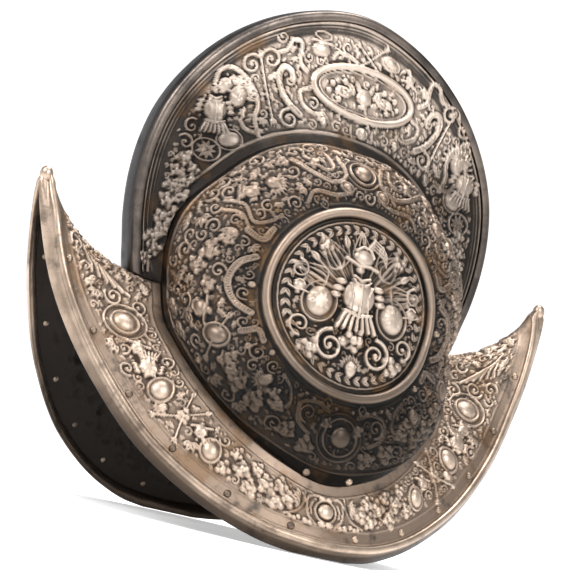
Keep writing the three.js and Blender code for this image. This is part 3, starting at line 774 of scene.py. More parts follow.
COMB_STRAPS = [
    # width, height, points from the oval outward on the front side
    (3.4, 1.9, [(-44, 291), (-38, 291.5), (-36.5, 286), (-36, 279), (-31, 275)]),
    (4.2, 2.4, [(-38.5, 268), (-41, 272.5), (-46, 273.5), (-48, 267), (-45, 259), (-39, 252), (-32, 247.5)]),
    (3.0, 1.7, [(-27, 266), (-33, 262), (-31, 255), (-24, 251), (-17, 252)]),
    (3.2, 1.9, [(-86, 254), (-84.5, 261), (-77, 264.5), (-68, 261), (-61, 254), (-58, 246), (-59, 238),
                (-56, 229)]),
    (2.8, 1.7, [(-67, 235), (-64, 231), (-58, 230), (-54, 232)]),
    (3.0, 1.8, [(-51, 281), (-46, 284), (-44, 289)]),
]
COMB_VOLUTES = [
    # x, z, size, turn in degrees, way, width, height
    (-66, 269.5, 5.6, 60, 1, 2.4, 2.0),
    (-54.5, 276.0, 5.8, 180, -1, 2.4, 2.1),
    (-38.5, 243.5, 5.4, 100, 1, 2.3, 2.1),
    (-40.5, 266.5, 2.8, 90, -1, 1.8, 2.0),
    (-50, 291.0, 3.2, 200, 1, 1.5, 1.5),
    (-8, 247.0, 3.0, 40, 1, 1.5, 1.6),
    (-24, 244.0, 2.8, 120, -1, 1.4, 1.5),
    (-72, 258.0, 2.6, 20, 1, 1.4, 1.5),
    (-62, 262.0, 2.4, 220, -1, 1.3, 1.5),
]


def smooth_path(points, steps=8):
    """Points on a smooth curve through a few given ones."""
    p = np.asarray(points, float)
    p = np.concatenate([2 * p[:1] - p[1:2], p, 2 * p[-1:] - p[-2:-1]])
    out = []
    for n in range(1, len(p) - 2):
        for f in np.arange(steps) / steps:
            bend = (2 * p[n] + (p[n + 1] - p[n - 1]) * f
                    + (2 * p[n - 1] - 5 * p[n] + 4 * p[n + 1] - p[n + 2]) * f * f
                    + (3 * p[n] - p[n - 1] - 3 * p[n + 1] + p[n + 2]) * f ** 3)
            out.append(bend / 2)
    out.append(p[-2])
    return np.array(out)


for side in (1, -1):
    shift = 0 if side > 0 else 18
    for width, height, points in COMB_STRAPS:
        path = smooth_path(points) * (side, 1) + (shift, 0)
        comb_board.line(path, width, height, flat=True)
    for x, z, size, degrees, way, width, height in COMB_VOLUTES:
        turn = turn_beside(math.radians(degrees), side)
        comb_board.scroll(side * x + shift, z, size, turn, way * side, 1.4, width, height)

# Trophies of arms under the arches: a mask, a cuirass, shields, a fan and a tasselled lance, then fruit.
COMB_FRUIT = [
    # x, z, size
    (95, 205, 4.6), (89, 200, 3.8), (98, 197, 3.8), (93, 192, 4.4), (99, 188, 4.2), (94, 183, 4.0),
    (100, 179, 4.4), (96, 173, 4.0), (101, 168, 4.4), (98, 162, 3.8), (103, 157, 4.2), (101, 150, 3.8),
    (104, 144, 3.4),
]
for side, mask_x, body_x in ((-1, -71, -83), (1, 84, 92)):
    comb_board.rod(mask_x - side * 22, 242, mask_x - side * 10, 274, 1.5, 2.2)
    comb_board.mask(mask_x, 248.5, 10.5, 0.1 * side, 3.6)
    comb_board.cuirass(body_x, 236, 11.5, -0.15 * side, 4.0)
    comb_board.helmet(body_x - side * 3, 252.5 - (side > 0) * 4, 6.5, 0, side, 3.2)
    comb_board.dome(mask_x + side * 1, 222 + (side > 0) * 3, 6.4, 4.8, 3.0, -0.3 * side, base=1.0)
    comb_board.ring(mask_x + side * 1, 222 + (side > 0) * 3, 7.6, 6.0, 1.3, 1.6, -0.3 * side)
    comb_board.ring(body_x + side * 1, 213, 8.0, 6.6, 1.4, 1.8)
    for n in range(9):
        lean = 2 * math.pi * n / 9
        comb_board.leaf(body_x + side, 213, 6.8, 2.2, lean, 1.7)
    for x, z, size in COMB_FRUIT:
        comb_board.bunch(side * x, z, size, 3.2)

# Over the oval an urn, a bracket and crossed rods, and below it a row of small forms.
comb_board.dome(-24, 290.5, 6.0, 4.4, 2.6, base=0.8)
comb_board.line([(-31, 295), (-17, 295)], 2.0, 2.2)
comb_board.ring(-24, 299, 5.5, 2.4, 1.2, 1.5)
comb_board.line(smooth_path([(-15, 288), (-12, 292), (-3, 291), (3, 288)]), 3.0, 1.9, flat=True)
comb_board.rod(2, 299, 16, 288, 1.3, 2.0)
comb_board.rod(18, 301, 6, 289.5, 1.3, 2.0)
comb_board.shield(24, 294.5, 6.4, 3.6, -0.25, 3.0)
comb_board.helmet(39, 288, 5.5, -0.4, 1, 2.8)
comb_board.shield(9.5, 247, 3.4, 3.0, 0, 2.8)
comb_board.line([(2, 250.5), (2, 244.0), (5.0, 244.0)], 1.8, 1.8, flat=True)
comb_board.line([(17, 250.5), (17, 244.0), (14.0, 244.0)], 1.8, 1.8, flat=True)
comb_board.mask(-17, 247.5, 4.4, 0, 2.4)
comb_board.mask(34, 246.0, 4.4, 0, 2.4)
comb_field = (comb_inset > 15) & (comb_rise > 8.5)
oval_room = np.hypot((comb_board.x - OVAL[0]) / 29.5, (comb_board.z - OVAL[1]) / 11)
comb_board.grow(comb_field & (oval_room > 1.35), 1.8)
comb_board.grow(oval_room < 1, 0.6)

w, v = np.meshgrid(np.linspace(0, 1, COMB_COLUMNS), np.linspace(0, 1, COMB_ROWS))
comb_base = wall_point(w, v)
comb_height = comb_board.read(comb_board.height, comb_base[..., 0], comb_base[..., 2])
# Painted light: the comb's ornament is brightened towards the top of the comb, as the lamps light it there.
comb_top_painted_light = 0.42 * comb_field * np.clip((comb_board.z - 226) / 30, 0, 1)
comb_worn_and_lit = np.clip(raise_of(comb_board) + comb_board.blur(comb_top_painted_light, 1.0), 0, 1)
comb_raise_and_light = comb_board.read(comb_worn_and_lit, comb_base[..., 0], comb_base[..., 2])
comb_hollow = comb_board.read(sunk_near(comb_board, 2.0), comb_base[..., 0], comb_base[..., 2])
for side in ("left", "right"):
    embossed("comb_face", side, comb_iron, comb_base, comb_height, comb_raise_and_light, comb_hollow, 4)

# The bowl's two sides, the part of the sheet raised deepest. Each has a round frame in the middle, and round
# it a wreath of strapwork, arms and fruit on a blackened ground, with plain bands along comb and foot.
BOWL_COLUMNS = 721
BOWL_ROWS = 101
DISC_SIDE = 181
UNROLL = 78.0
RING_WIDTH = 6.4
RING_HEIGHT = 3.4
arc_share = np.linspace(0, 1, 800)
foot_share = np.linspace(2, 0, 800)
rim_loop = np.concatenate([arc_point(arc_share), foot_point(foot_share)[1:]])
rim_turn = np.unwrap(np.arctan2((rim_loop[:, 2] - MEDALLION_HEIGHT) / MEDALLION_SQUASH, rim_loop[:, 0]))
around = np.linspace(-math.pi / 2, 1.5 * math.pi, BOWL_COLUMNS)
order = np.argsort(rim_turn)


def rim_at(turn):
    """The point of the bowl's outline in a direction from the middle of the round frame."""
    low = rim_turn[order][0]
    wrapped = low + np.mod(turn - low, 2 * math.pi)
    return np.stack([np.interp(wrapped, rim_turn[order], rim_loop[order][:, n]) for n in range(3)], -1)


def bowl_spot(turn, share):
    """A point of the bowl, in a direction and at a share of the way from the round frame to the outline."""
    far_out = rim_at(turn)
    ring = MEDALLION_RADIUS - RING_WIDTH / 2
    near_x = ring * np.cos(turn)
    near_z = MEDALLION_HEIGHT + ring * MEDALLION_SQUASH * np.sin(turn)
    x = near_x + (far_out[..., 0] - near_x) * share
    z = near_z + (far_out[..., 2] - near_z) * share
    point = np.stack([x, -bowl_width(x, z), z], -1)
    return np.where((share >= 1)[..., None], far_out, point)


def reach_at(turn):
    """How far the outline lies from the round frame in a direction."""
    ring = MEDALLION_RADIUS - RING_WIDTH / 2
    far_out = rim_at(turn)
    return np.hypot(far_out[..., 0] - ring * np.cos(turn),
                    far_out[..., 2] - MEDALLION_HEIGHT - ring * MEDALLION_SQUASH * np.sin(turn))


# Distances on the board are measured over the surface, from the round frame outward.
steps = np.linspace(0, 1, 161)
step_turn, step_share = np.meshgrid(around, steps, indexing="ij")
step_length = np.linalg.norm(np.diff(bowl_spot(step_turn, step_share), axis=1), axis=2)
walked = np.concatenate([np.zeros((BOWL_COLUMNS, 1)), np.cumsum(step_length, axis=1)], axis=1)
bowl_board = Relief(-math.pi / 2 * UNROLL, -1, 1.5 * math.pi * UNROLL, walked.max() + 1)
board_turn = bowl_board.x / UNROLL

FULL = np.linspace(-math.pi / 2, 1.5 * math.pi, 400)
full_reach = np.interp(FULL, around, walked[:, -1])
wrapped_reach = np.concatenate([full_reach[-12:], full_reach, full_reach[:12]])
band_reach = np.array([wrapped_reach[n:n + 25].mean() for n in range(400)])
band_reach = np.minimum(band_reach, full_reach)
bowl_room = np.interp(board_turn, FULL, band_reach) - bowl_board.z
bowl_board.line(np.stack([FULL * UNROLL, np.full(400, RING_WIDTH / 2)], -1), RING_WIDTH, RING_HEIGHT)
bowl_board.line(np.stack([FULL * UNROLL, np.full(400, RING_WIDTH + 2.2)], -1), 1.2, 0.8)
bowl_board.line(np.stack([FULL * UNROLL, band_reach - 7.5], -1), 1.8, 1.2)


def bowl_at(degrees, out):
    """A place on the board, by degrees round the frame and distance out from it."""
    turn = math.radians(degrees if degrees >= -90 else degrees + 360)
    column = int(round((turn + math.pi / 2) / (2 * math.pi) * (BOWL_COLUMNS - 1))) % BOWL_COLUMNS
    return turn * UNROLL, np.interp(out / reach_at(around[column]), steps, walked[column])


def beside(side, degrees, out):
    """The same place at the front, or at the back."""
    return bowl_at(degrees if side > 0 else 180 - degrees, out)


# Round studs above and below the frame. The lower one stands across the board's two ends.
BOWL_STUDS = [
    # degrees, out, ring, stud, height
    (90, 27, 8.2, 5.4, 3.8),
    (-90, 26, 10.6, 6.2, 4.4),
    (270, 26, 10.6, 6.2, 4.4),
]
for degrees, out, ring, dome, high in BOWL_STUDS:
    bowl_board.ring(*bowl_at(degrees, out), ring, ring, 1.8, 2.0)
    bowl_board.ring(*bowl_at(degrees, out), ring + 3.2, ring + 3.0, 1.3, 1.2)
    bowl_board.dome(*bowl_at(degrees, out), dome, dome, high, base=1.2)

BOWL_STRAPS = [
    # width, height, points by degrees round the frame and distance out from it, on the front side
    (5.0, 2.4, [(168, 12), (174, 19), (183, 22), (192, 19), (198, 12)]),
    (4.6, 2.0, [(158, 22), (158, 13), (150, 12)]),
    (4.4, 2.0, [(206, 20), (207, 11), (213, 11)]),
    (3.2, 1.9, [(120, 36), (114, 26), (106, 20), (99, 24), (100, 34)]),
    (2.6, 1.6, [(114, 36), (109, 28), (104, 28), (104, 35)]),
    (3.0, 1.8, [(98, 14), (108, 13), (118, 17), (124, 13)]),
    (2.6, 1.8, [(152, 38), (149, 30), (153, 22), (148, 16), (141, 14)]),
    (2.4, 1.7, [(156, 37), (153, 29), (156, 23)]),
    (2.8, 1.8, [(262, 14), (254, 12), (247, 17), (249, 26), (256, 30)]),
    (2.4, 1.6, [(232, 12), (239, 15), (243, 23), (238, 30)]),
]
BOWL_VOLUTES = [
    # degrees, out, size, turn, way
    (131, 15, 4.4, 0, 1),
    (143, 22, 3.6, 150, -1),
    (163, 36, 4.0, 60, 1),
    (217, 17, 4.6, 200, -1),
    (226, 14, 3.8, 30, 1),
    (252, 20, 5.0, 80, 1),
    (259, 10, 3.2, 10, -1),
    (243, 36, 4.0, 120, 1),
    (104, 39, 3.2, 30, 1),
    (116, 9, 3.0, 10, -1),
]
BOWL_FRUIT = [
    # degrees, out, size
    (172, 33, 5.6), (179, 36, 5.0), (186, 30, 4.4), (216, 33, 5.4), (224, 35, 5.4), (232, 34, 5.2),
    (239, 27, 4.2), (248, 35, 5.0), (257, 37, 4.6), (124, 37, 4.2), (165, 28, 4.6), (235, 24, 3.6),
    (262, 21, 3.4),
]
for side in (1, -1):
    for width, height, points in BOWL_STRAPS:
        path = smooth_path([beside(side, *point) for point in points])
        bowl_board.line(path, width, height, flat=True)
    for degrees, out, size, lean, way in BOWL_VOLUTES:
        turn = turn_beside(math.radians(lean), side)
        bowl_board.scroll(*beside(side, degrees, out), size, turn, way * side, 1.4, size * 0.42, 2.0)

    # Arms in the four quarters, with plain round studs between them, and hung fruit.
    for degrees, out, stud in ((183, 10.5, (2.6, 2.8, 2.8)), (213, 20, (2.2, 2.2, 2.6)),
                               (220, 10, (2.4, 2.2, 2.6))):
        bowl_board.dome(*beside(side, degrees, out), *stud, base=1.0)
    bowl_board.helmet(*beside(side, 196, 33.5), 8.0, 0.4 * side, -side, 4.2)
    bowl_board.shield(*beside(side, 206, 32), 6.0, 7.2, 0.2, 3.6)
    bowl_board.rod(*beside(side, 212, 40), *beside(side, 200, 24), 1.3, 2.2)
    bowl_board.mask(*beside(side, 133, 29), 7.6, 2.6, 3.4)
    bowl_board.cuirass(*beside(side, 143, 32), 6.8, 2.4, 3.6)
    bowl_board.mask(*beside(side, 229, 22), 7.0, 0.3, 3.4)
    bowl_board.helmet(*beside(side, 112, 31), 5.0, 0.3, side, 3.0)
    bowl_board.shield(*beside(side, 80, 17), 4.6, 3.4, 0.4, 2.8)
    for degrees, out, size in BOWL_FRUIT:
        bowl_board.bunch(*beside(side, degrees, out), size, 3.4)
    for n in range(5):
        bowl_board.dome(*beside(side, 265 - 4.5 * n, 11), 1.6, 1.4, 2.0, base=0.8)
    for n in range(4):
        lean = turn_beside(math.radians(20 + 14 * n), side)
        bowl_board.leaf(*beside(side, 160, 26), 12, 3.4, lean, 2.2)
bowl_board.grow((bowl_room > 9.4) & (bowl_board.z > 10), 1.6)

turns = np.broadcast_to(around, (BOWL_ROWS, BOWL_COLUMNS))
board_u = turns * UNROLL
board_v = np.linspace(0, 1, BOWL_ROWS)[:, None] * walked[:, -1]
share = np.stack([np.interp(board_v[:, n], walked[n], steps) for n in range(BOWL_COLUMNS)], 1)
bowl_base = bowl_spot(turns, share)
bowl_height = bowl_board.read(bowl_board.height, board_u, board_v)
bowl_rubbed = 0.3 * (bowl_room > 8) * np.clip((bowl_board.z - 18) / 10, 0, 1)
bowl_worn = np.clip(raise_of(bowl_board) + bowl_board.blur(bowl_rubbed, 1.0), 0, 1)
bowl_raise = bowl_board.read(bowl_worn, board_u, board_v)
bowl_hollow = bowl_board.read(sunk_near(bowl_board, 2.0), board_u, board_v)

# The round frame holds a trophy of arms in a wreath, in the highest relief on the helmet: a cuirass under a
# plumed helmet, shields, standards and lances fanned out over fine rays, and fruit and scrolls at the foot.
disc_board = Relief(-54, -54, 54, 54)
disc_board.ring(0, 0, 48.5, 48.5, 1.4, 1.3)
for n in range(55):
    lean = math.radians(8 + 3 * n)
    reach = 40.5 - 2.5 * (n % 3)
    near_end = (13 * math.cos(lean), 3 + 13 * math.sin(lean))
    disc_board.line([near_end, (reach * math.cos(lean), reach * math.sin(lean))], 1.5, 1.1 + 0.3 * (n % 2))
for n in range(9):
    lean = math.radians(18 + 18 * n)
    reach = 41 - 3 * (n % 2)
    tip = (reach * math.cos(lean), 2 + (reach - 2) * math.sin(lean))
    disc_board.line([(0, 0), tip], 1.7, 2.0)
    if n % 2:
        disc_board.leaf(tip[0] * 0.86, tip[1] * 0.86, 9, 4.6, lean, 2.6)
    else:
        for m in range(5):
            sway = lean + 0.13 * (m - 2)
            disc_board.line(smooth_path([
                (tip[0] * 0.55, tip[1] * 0.55),
                (27 * math.cos(sway), 27 * math.sin(sway) + 2),
                (tip[0] + 4 * math.cos(sway + 0.5), tip[1] + 3 * math.sin(sway - 0.6)),
            ]), 1.9, 2.2, 0.6)
disc_board.cuirass(0, 3, 17, 0, 5.0)
disc_board.helmet(0, 27, 11, 0, -1, 4.6)
for side in (-1, 1):
    disc_board.shield(side * 24, -3, 10.5, 12, side * 0.35, 4.2)
    for n in range(8):
        lean = n * math.pi / 4 + 0.2
        disc_board.leaf(side * 24, -3, 7.5, 2.6, lean, 4.4)
    disc_board.scroll(side * 15, -27, 8.5, math.pi / 2, -side, 1.6, 3.2, 3.0)
    disc_board.scroll(side * 34, -19, 6.0, -math.pi / 2, side, 1.4, 2.4, 2.4)
    disc_board.scroll(side * 38, 13, 5.0, math.pi / 2, side, 1.4, 2.2, 2.4)
    disc_board.helmet(side * 37, 2.5, 6.0, 0, side, 3.2)
    disc_board.bunch(side * 27, -31, 6.0, 3.4)
    disc_board.bunch(side * 24, 30, 4.6, 3.0)
disc_board.bunch(0, -21, 7.2, 4.2)
disc_board.mask(0, -38, 7.5, 0, 3.6)
for n in range(46):
    lean = 2 * math.pi * n / 46
    for side in (-1, 1):
        turn = lean + math.pi / 2 + side * 0.5
        disc_board.leaf(44.0 * math.cos(lean), 44.0 * math.sin(lean), 6.0, 2.8, turn, 1.9)
disc_board.grow(np.hypot(disc_board.x, disc_board.z) < 42, 0.7)

# As for the comb, the last three numbers of each finish are painted shade below a height.
bowl_iron = patina("bowl_iron", tone(150, 133, 119), tone(88, 77, 69),
                   tone(50, 46, 42), tone(20, 18, 17), 0.07, 0.14, 0.22)
frame_iron = patina("frame_iron", tone(192, 176, 162), tone(124, 109, 97),
                    tone(52, 47, 42), tone(18, 17, 16), 0.09, 0.14, 0.85)

# The disc's grid bends from a square in its middle to the round frame at its border.
a, b = np.meshgrid(np.linspace(-1, 1, DISC_SIDE), np.linspace(1, -1, DISC_SIDE))
wide = np.abs(a) > np.abs(b)
radius = np.where(wide, a, b)
safe = np.where(radius == 0, 1, radius)
angle = np.where(wide, math.pi / 4 * b / safe, math.pi / 2 - math.pi / 4 * a / safe)
disc_reach = MEDALLION_RADIUS - RING_WIDTH / 2
disc_x = disc_reach * radius * np.cos(angle)
disc_z = disc_reach * radius * np.sin(angle)
disc_base = np.stack([
    disc_x,
    -bowl_width(disc_x, MEDALLION_HEIGHT + disc_z * MEDALLION_SQUASH),
    MEDALLION_HEIGHT + disc_z * MEDALLION_SQUASH,
], -1)
disc_height = disc_board.read(disc_board.height, disc_x, disc_z)
disc_raise = disc_board.read(raise_of(disc_board), disc_x, disc_z)
disc_hollow = disc_board.read(sunk_near(disc_board, 2.0), disc_x, disc_z)
for side in ("left", "right"):
    embossed("bowl", side, bowl_iron, bowl_base, bowl_height, bowl_raise, bowl_hollow, 4, closed=True)
    embossed("bowl_medallion", side, frame_iron, disc_base, disc_height, disc_raise, disc_hollow, 4)

# The brim, beaten out of the same sheet and swept up to a point at the front and the back. Fruit, arms,
# masks and smooth ovals fill it between a plain band at the bowl and one that carries the rivets.
BRIM_COLUMNS = 641
BRIM_ROWS = 77
FOOT_START = 0.2
TIP_SHARE = 0.07
TIP_FOOT = np.array([-106.6, -SEAM_GAP, 131.8])


def fade(x):
    """A smooth rise from 0 to 1."""
    f = np.clip(x, 0, 1)
    return f * f * (3 - 2 * f)


def brim_foot(s):
    """Where the brim starts, on the comb's end or the bowl's foot."""
    near = np.minimum(s, 2 - s)
    top = wall_point(np.zeros_like(near), np.zeros_like(near))
    f = (near / TIP_SHARE)[..., None]
    tip = TIP_FOOT + (top - TIP_FOOT) * np.clip(f, 0, 1)
    wall = wall_point(np.zeros_like(near), np.clip((near - TIP_SHARE) / (FOOT_START - TIP_SHARE), 0, 1))
    foot = foot_point(np.clip((near - FOOT_START) / (1 - FOOT_START), 0, 1))
    point = np.where(f < 1, tip, np.where(near[..., None] < FOOT_START, wall, foot))
    point[..., 0] *= np.where(s > 1, -1, 1)
    return point


def brim_frame(s):
    """The line of the bead, with its directions along, outward and off the sheet."""
    edge = edge_point(s)
    near = np.minimum(s, 2 - s)
    along = edge_point(np.minimum(s + 0.02, 2)) - edge_point(np.maximum(s - 0.02, 0))
    along[..., 1] *= fade(near / TIP_SHARE)
    along /= np.linalg.norm(along, axis=-1, keepdims=True)
    out = edge - brim_foot(s)
    out[..., 1] *= fade(near / TIP_SHARE)
    out -= (out * along).sum(-1, keepdims=True) * along
    out /= np.linalg.norm(out, axis=-1, keepdims=True)
    off = np.cross(out, along)
    under = TURN_UNDER * fade(near / TURN_START)
    bead = edge - TURN_OUT * out + under[..., None] * off
    bead[..., 1] = np.where(near <= 0, -SEAM_GAP, bead[..., 1])
    return bead, along, out, off, under


def brim_spot(s, t):
    """A point of the brim, at a place along it and a share of the way out."""
    bead, _, out, _, _ = brim_frame(s)
    foot = brim_foot(s)
    point = foot + (bead - SHEET_SHORT * out - foot) * t[..., None]
    tip_bead, _, tip_out, _, _ = brim_frame(np.zeros(1))
    tip = TIP_FOOT + (tip_bead[0] - SHEET_SHORT * tip_out[0] - TIP_FOOT) * t[..., None]
    near = np.minimum(s, 2 - s)
    point[..., 2] += (crest_height(-tip[..., 0]) - tip[..., 2]) * (1 - near) ** 5
    point[..., 1] = np.where(near <= 0, -SEAM_GAP, point[..., 1])
    return point


s_line = np.linspace(0, 2, 801)
middle_line = brim_spot(s_line, np.full_like(s_line, 0.55))
run = np.concatenate([[0], np.cumsum(np.linalg.norm(np.diff(middle_line, axis=0), axis=1))])
run -= run[400]
width_line = np.linalg.norm(brim_spot(s_line, np.ones_like(s_line)) - brim_foot(s_line), axis=1)
brim_board = Relief(run[0], -1, run[-1], 92)
brim_width = np.interp(brim_board.x, run, width_line)
brim_room = brim_width - brim_board.z

brim_line = np.linspace(run[0], run[-1], 400)
brim_span = np.interp(brim_line, run, width_line)
INNER_BAND = 6.8
OUTER_BAND = 10.2
BRIM_LINES = [
    # distance out, width, height
    (np.full(400, INNER_BAND), 1.2, 0.7),
    (brim_span - OUTER_BAND, 1.1, 0.6),
    (brim_span - 3.2, 0.9, 0.6),
    (brim_span - 1.5, 0.9, 0.6),
]
for reach, width, height in BRIM_LINES:
    brim_board.line(np.stack([brim_line, reach], -1), width, height)


def brim_at(u, share):
    """A place by its distance along the brim and its share of the way over the ornament's band."""
    low = INNER_BAND + 1.0
    high = np.interp(u, run, width_line) - OUTER_BAND - 1.0
    return u, low + (high - low) * share


def brim_path(side, points):
    return smooth_path([brim_at(side * u, share) for u, share in points])


# In the middle a stud in strapwork. Then on each side fruit, a smooth oval, a helmet, crossed spears, a
# shield, a cuirass, a second helmet, a ringed boss, and scrolls and long leaves up to the point.
BRIM_BEADS = [
    # distance along, share of the way over, size
    (12.5, 0.97, 1.9), (16.5, 0.93, 1.5), (19, 1.0, 1.4), (9.5, 0.99, 1.6), (21.5, 0.99, 1.3),
]
BRIM_FRUIT = [
    # distance along, share of the way over, size
    (25, 0.5, 4.6), (31, 0.25, 4.4), (32, 0.75, 4.6), (40, 0.45, 5.2), (48, 0.2, 4.0), (48, 0.78, 4.6),
    (56, 0.45, 4.8), (64, 0.22, 3.8), (65, 0.75, 4.0),
]
BRIM_FRAME = [(4.5, 0.0), (9.5, 0.04), (12.5, 0.2), (12.2, 0.5), (10.5, 0.78), (6, 1.0)]
BRIM_LOBE = [(8.6, 0.24), (9.8, 0.44), (9.2, 0.66)]
BRIM_ARC = [(14.5, 0.0), (14.8, 0.4), (18.5, 0.76), (25, 0.97)]
brim_board.dome(*brim_at(0, 0.5), 4.8, 4.6, 3.8, base=1.4)
brim_board.ring(*brim_at(0, 0.5), 6.9, 6.5, 1.6, 1.8)
for side in (-1, 1):
    for share in (0.07, 0.94):
        brim_board.dome(*brim_at(side * 2.2, share), 2.7, 1.9, 2.8, base=1.0)
    brim_board.line(brim_path(side, BRIM_FRAME), 2.0, 1.5, flat=True)
    brim_board.line(brim_path(side, BRIM_LOBE), 1.5, 1.5)
    brim_board.line(brim_path(side, BRIM_ARC), 1.5, 1.3)
    for n in range(5):
        lean = turn_beside(math.radians(70 - 32 * n), side)
        brim_board.leaf(*brim_at(side * 17.2, 0.34), 7.4, 2.6, lean, 2.2)
    for u, share, size in BRIM_BEADS:
        brim_board.dome(*brim_at(side * u, share), size, size, 2.2, base=0.8)
    for u, share, size in BRIM_FRUIT:
        brim_board.bunch(*brim_at(side * u, share), size, 3.0)
    brim_board.shield(*brim_at(side * 77, 0.62), 6.2, 7.0, side * 0.7, 3.8)
    brim_board.helmet(*brim_at(side * 89, 0.42), 6.6, 0.5 * side, side, 3.8)
    brim_board.rod(*brim_at(side * 95, 0.95), *brim_at(side * 109, 0.1), 1.3, 2.2)
    brim_board.rod(*brim_at(side * 110, 0.95), *brim_at(side * 96, 0.1), 1.3, 2.2)
    brim_board.bunch(*brim_at(side * 102.5, 0.5), 4.2, 3.0)
    brim_board.shield(*brim_at(side * 122, 0.55), 7.0, 8.4, side * 0.5, 4.2)
    brim_board.mask(*brim_at(side * 112, 0.75), 5.0, 0, 2.8)
    brim_board.cuirass(*brim_at(side * 138, 0.5), 9.0, side * 1.2, 4.0)
    brim_board.helmet(*brim_at(side * 151, 0.5), 7.0, side * 0.9, side, 3.8)
    brim_board.scroll(*brim_at(side * 138, 0.12), 4.0, 0, side, 1.3, 1.8, 2.0)
    brim_board.scroll(*brim_at(side * 139, 0.92), 4.0, 0, -side, 1.3, 1.8, 2.0)
    brim_board.shield(*brim_at(side * 169, 0.5), 8.0, 8.6, 0, 3.8)
    brim_board.ring(*brim_at(side * 169, 0.5), 12.0, 13.0, 1.6, 1.9)
    brim_board.scroll(*brim_at(side * 160, 0.12), 4.2, 0, -side, 1.3, 1.8, 2.0)
    brim_board.scroll(*brim_at(side * 181, 0.2), 4.8, 0, side, 1.3, 2.0, 2.0)
    brim_board.scroll(*brim_at(side * 186, 0.55), 5.4, 2.0, side, 1.5, 2.2, 2.0)
    for n in range(6):
        root = 188 + 2 * n
        blade = [(root, 0.3 + 0.1 * n), (root + 8, 0.5 + 0.06 * n), (root + 17, 0.72 + 0.02 * n)]
        brim_board.line(brim_path(side, blade), 2.4, 2.2, 0.5)
brim_board.grow((brim_room > OUTER_BAND + 1.0) & (brim_board.z > INNER_BAND + 1.2), 1.5)

# The last three numbers are a slight painted shade close to the floor.
brim_iron = patina("brim_iron", tone(200, 181, 164), tone(172, 152, 135),
                   tone(146, 128, 113), tone(62, 50, 41), 0.0, 0.04, 0.88)
s_grid, t_grid = np.meshgrid(np.linspace(0, 2, BRIM_COLUMNS), np.linspace(0, 1, BRIM_ROWS))
brim_base = brim_spot(s_grid, t_grid)
board_u = np.interp(s_grid, s_line, run)
board_v = t_grid * np.interp(s_grid, s_line, width_line)
seam_fade = np.clip(np.minimum(s_grid, 2 - s_grid) / 0.015, 0, 1)
brim_height = brim_board.read(brim_board.height * 0.82, board_u, board_v) * seam_fade
brim_raise = brim_board.read(raise_of(brim_board), board_u, board_v)
brim_hollow_and_shade = brim_board.read(sunk_near(brim_board, 2.0), board_u, board_v)
# Painted shade: the brim darkens towards both of its points, along the crest's shaded side.
tip_painted_shade = 0.6 * np.clip(1 - np.minimum(s_grid, 2 - s_grid) / 0.045, 0, 1)
brim_hollow_and_shade = np.maximum(brim_hollow_and_shade, tip_painted_shade)
for side in ("left", "right"):
    embossed("brim", side, brim_iron, brim_base, brim_height, brim_raise, brim_hollow_and_shade, 2)

# The turned edge of the brim: the sheet is rolled over a wire into a round bead, with a smooth lip below it,
# and drawn out at each end into a small knob.
EDGE_COLUMNS = 420
LIP_THICK = 1.2
KNOB_RADII = (3.9, 3.5, 4.6)
KNOB_OUT = 2.4
KNOB_DROP = 2.0
TIP_NARROWING = 0.035


def smooth_metal(name, light, dark, roughness, darkened_to):
    """Polished iron, clouded with duller patches, with fine scratches and small dark pits. Marked points
    darken toward a set colour: the brim edge's turned-under lip as painted shade, and the comb rim's top.
    """
    finish = Finish(name)
    cloud = finish.noise(26.0, 5.0)
    pits = finish.noise(700.0, 3.0)
    drawn_out = {"Vector": finish.place(), "Scale": (60.0, 900.0, 420.0)}
    stretched = finish.node("ShaderNodeMapping", {}, drawn_out)
    fine = {"Vector": stretched, "Scale": 1.0, "Detail": 3.0}
    scratch = finish.node("ShaderNodeTexNoise", {}, fine, "Fac")
    colour = finish.mix(cloud.band(0.36, 0.64), dark, light)
    tarnish = finish.noise(85.0, 5.0).band(0.52, 0.7)
    colour = finish.mix(tarnish * 0.6, colour, tone(58, 53, 50))
    colour = finish.mix(pits.band(0.62, 0.8), colour, tone(66, 58, 53))
    darkened = (finish.field("darkened") * (0.55 + 0.9 * cloud)).clamp()
    colour = finish.mix(darkened * 0.9, colour, darkened_to)
    rough = (roughness + 0.16 * (1 - cloud) + 0.12 * tarnish + 0.16 * (scratch - 0.5)).clamp()
    relief = pits * 0.5 + finish.noise(130.0, 3.0) * 0.3 + scratch * 0.2
    return finish.skin(colour, 1.0, rough, relief, 0.00022)


def swept(rings):
    """Points and faces of a section carried along a line, closed at both ends. Rings run to the back."""
    count, sides = rings.shape[:2]
    ids = np.arange(count * sides).reshape(count, sides)
    wrapped = np.concatenate([ids, ids[:, :1]], 1)
    faces = cells(wrapped).tolist()
    faces.append(ids[0].tolist())
    faces.append(ids[-1][::-1].tolist())
    return rings.reshape(-1, 3), faces


def round_off(corners, radius, steps=4):
    """A closed section with its corners rounded off."""
    corners = np.asarray(corners, float)
    rounded = []
    for n, corner in enumerate(corners):
        before = corners[n - 1] - corner
        after = corners[(n + 1) % len(corners)] - corner
        reach_a = min(radius, np.linalg.norm(before) * 0.45)
        reach_b = min(radius, np.linalg.norm(after) * 0.45)
        start = corner + before / np.linalg.norm(before) * reach_a
        end = corner + after / np.linalg.norm(after) * reach_b
        for f in np.linspace(0, 1, steps):
            rounded.append((1 - f) ** 2 * start + 2 * f * (1 - f) * corner + f * f * end)
    return np.array(rounded)


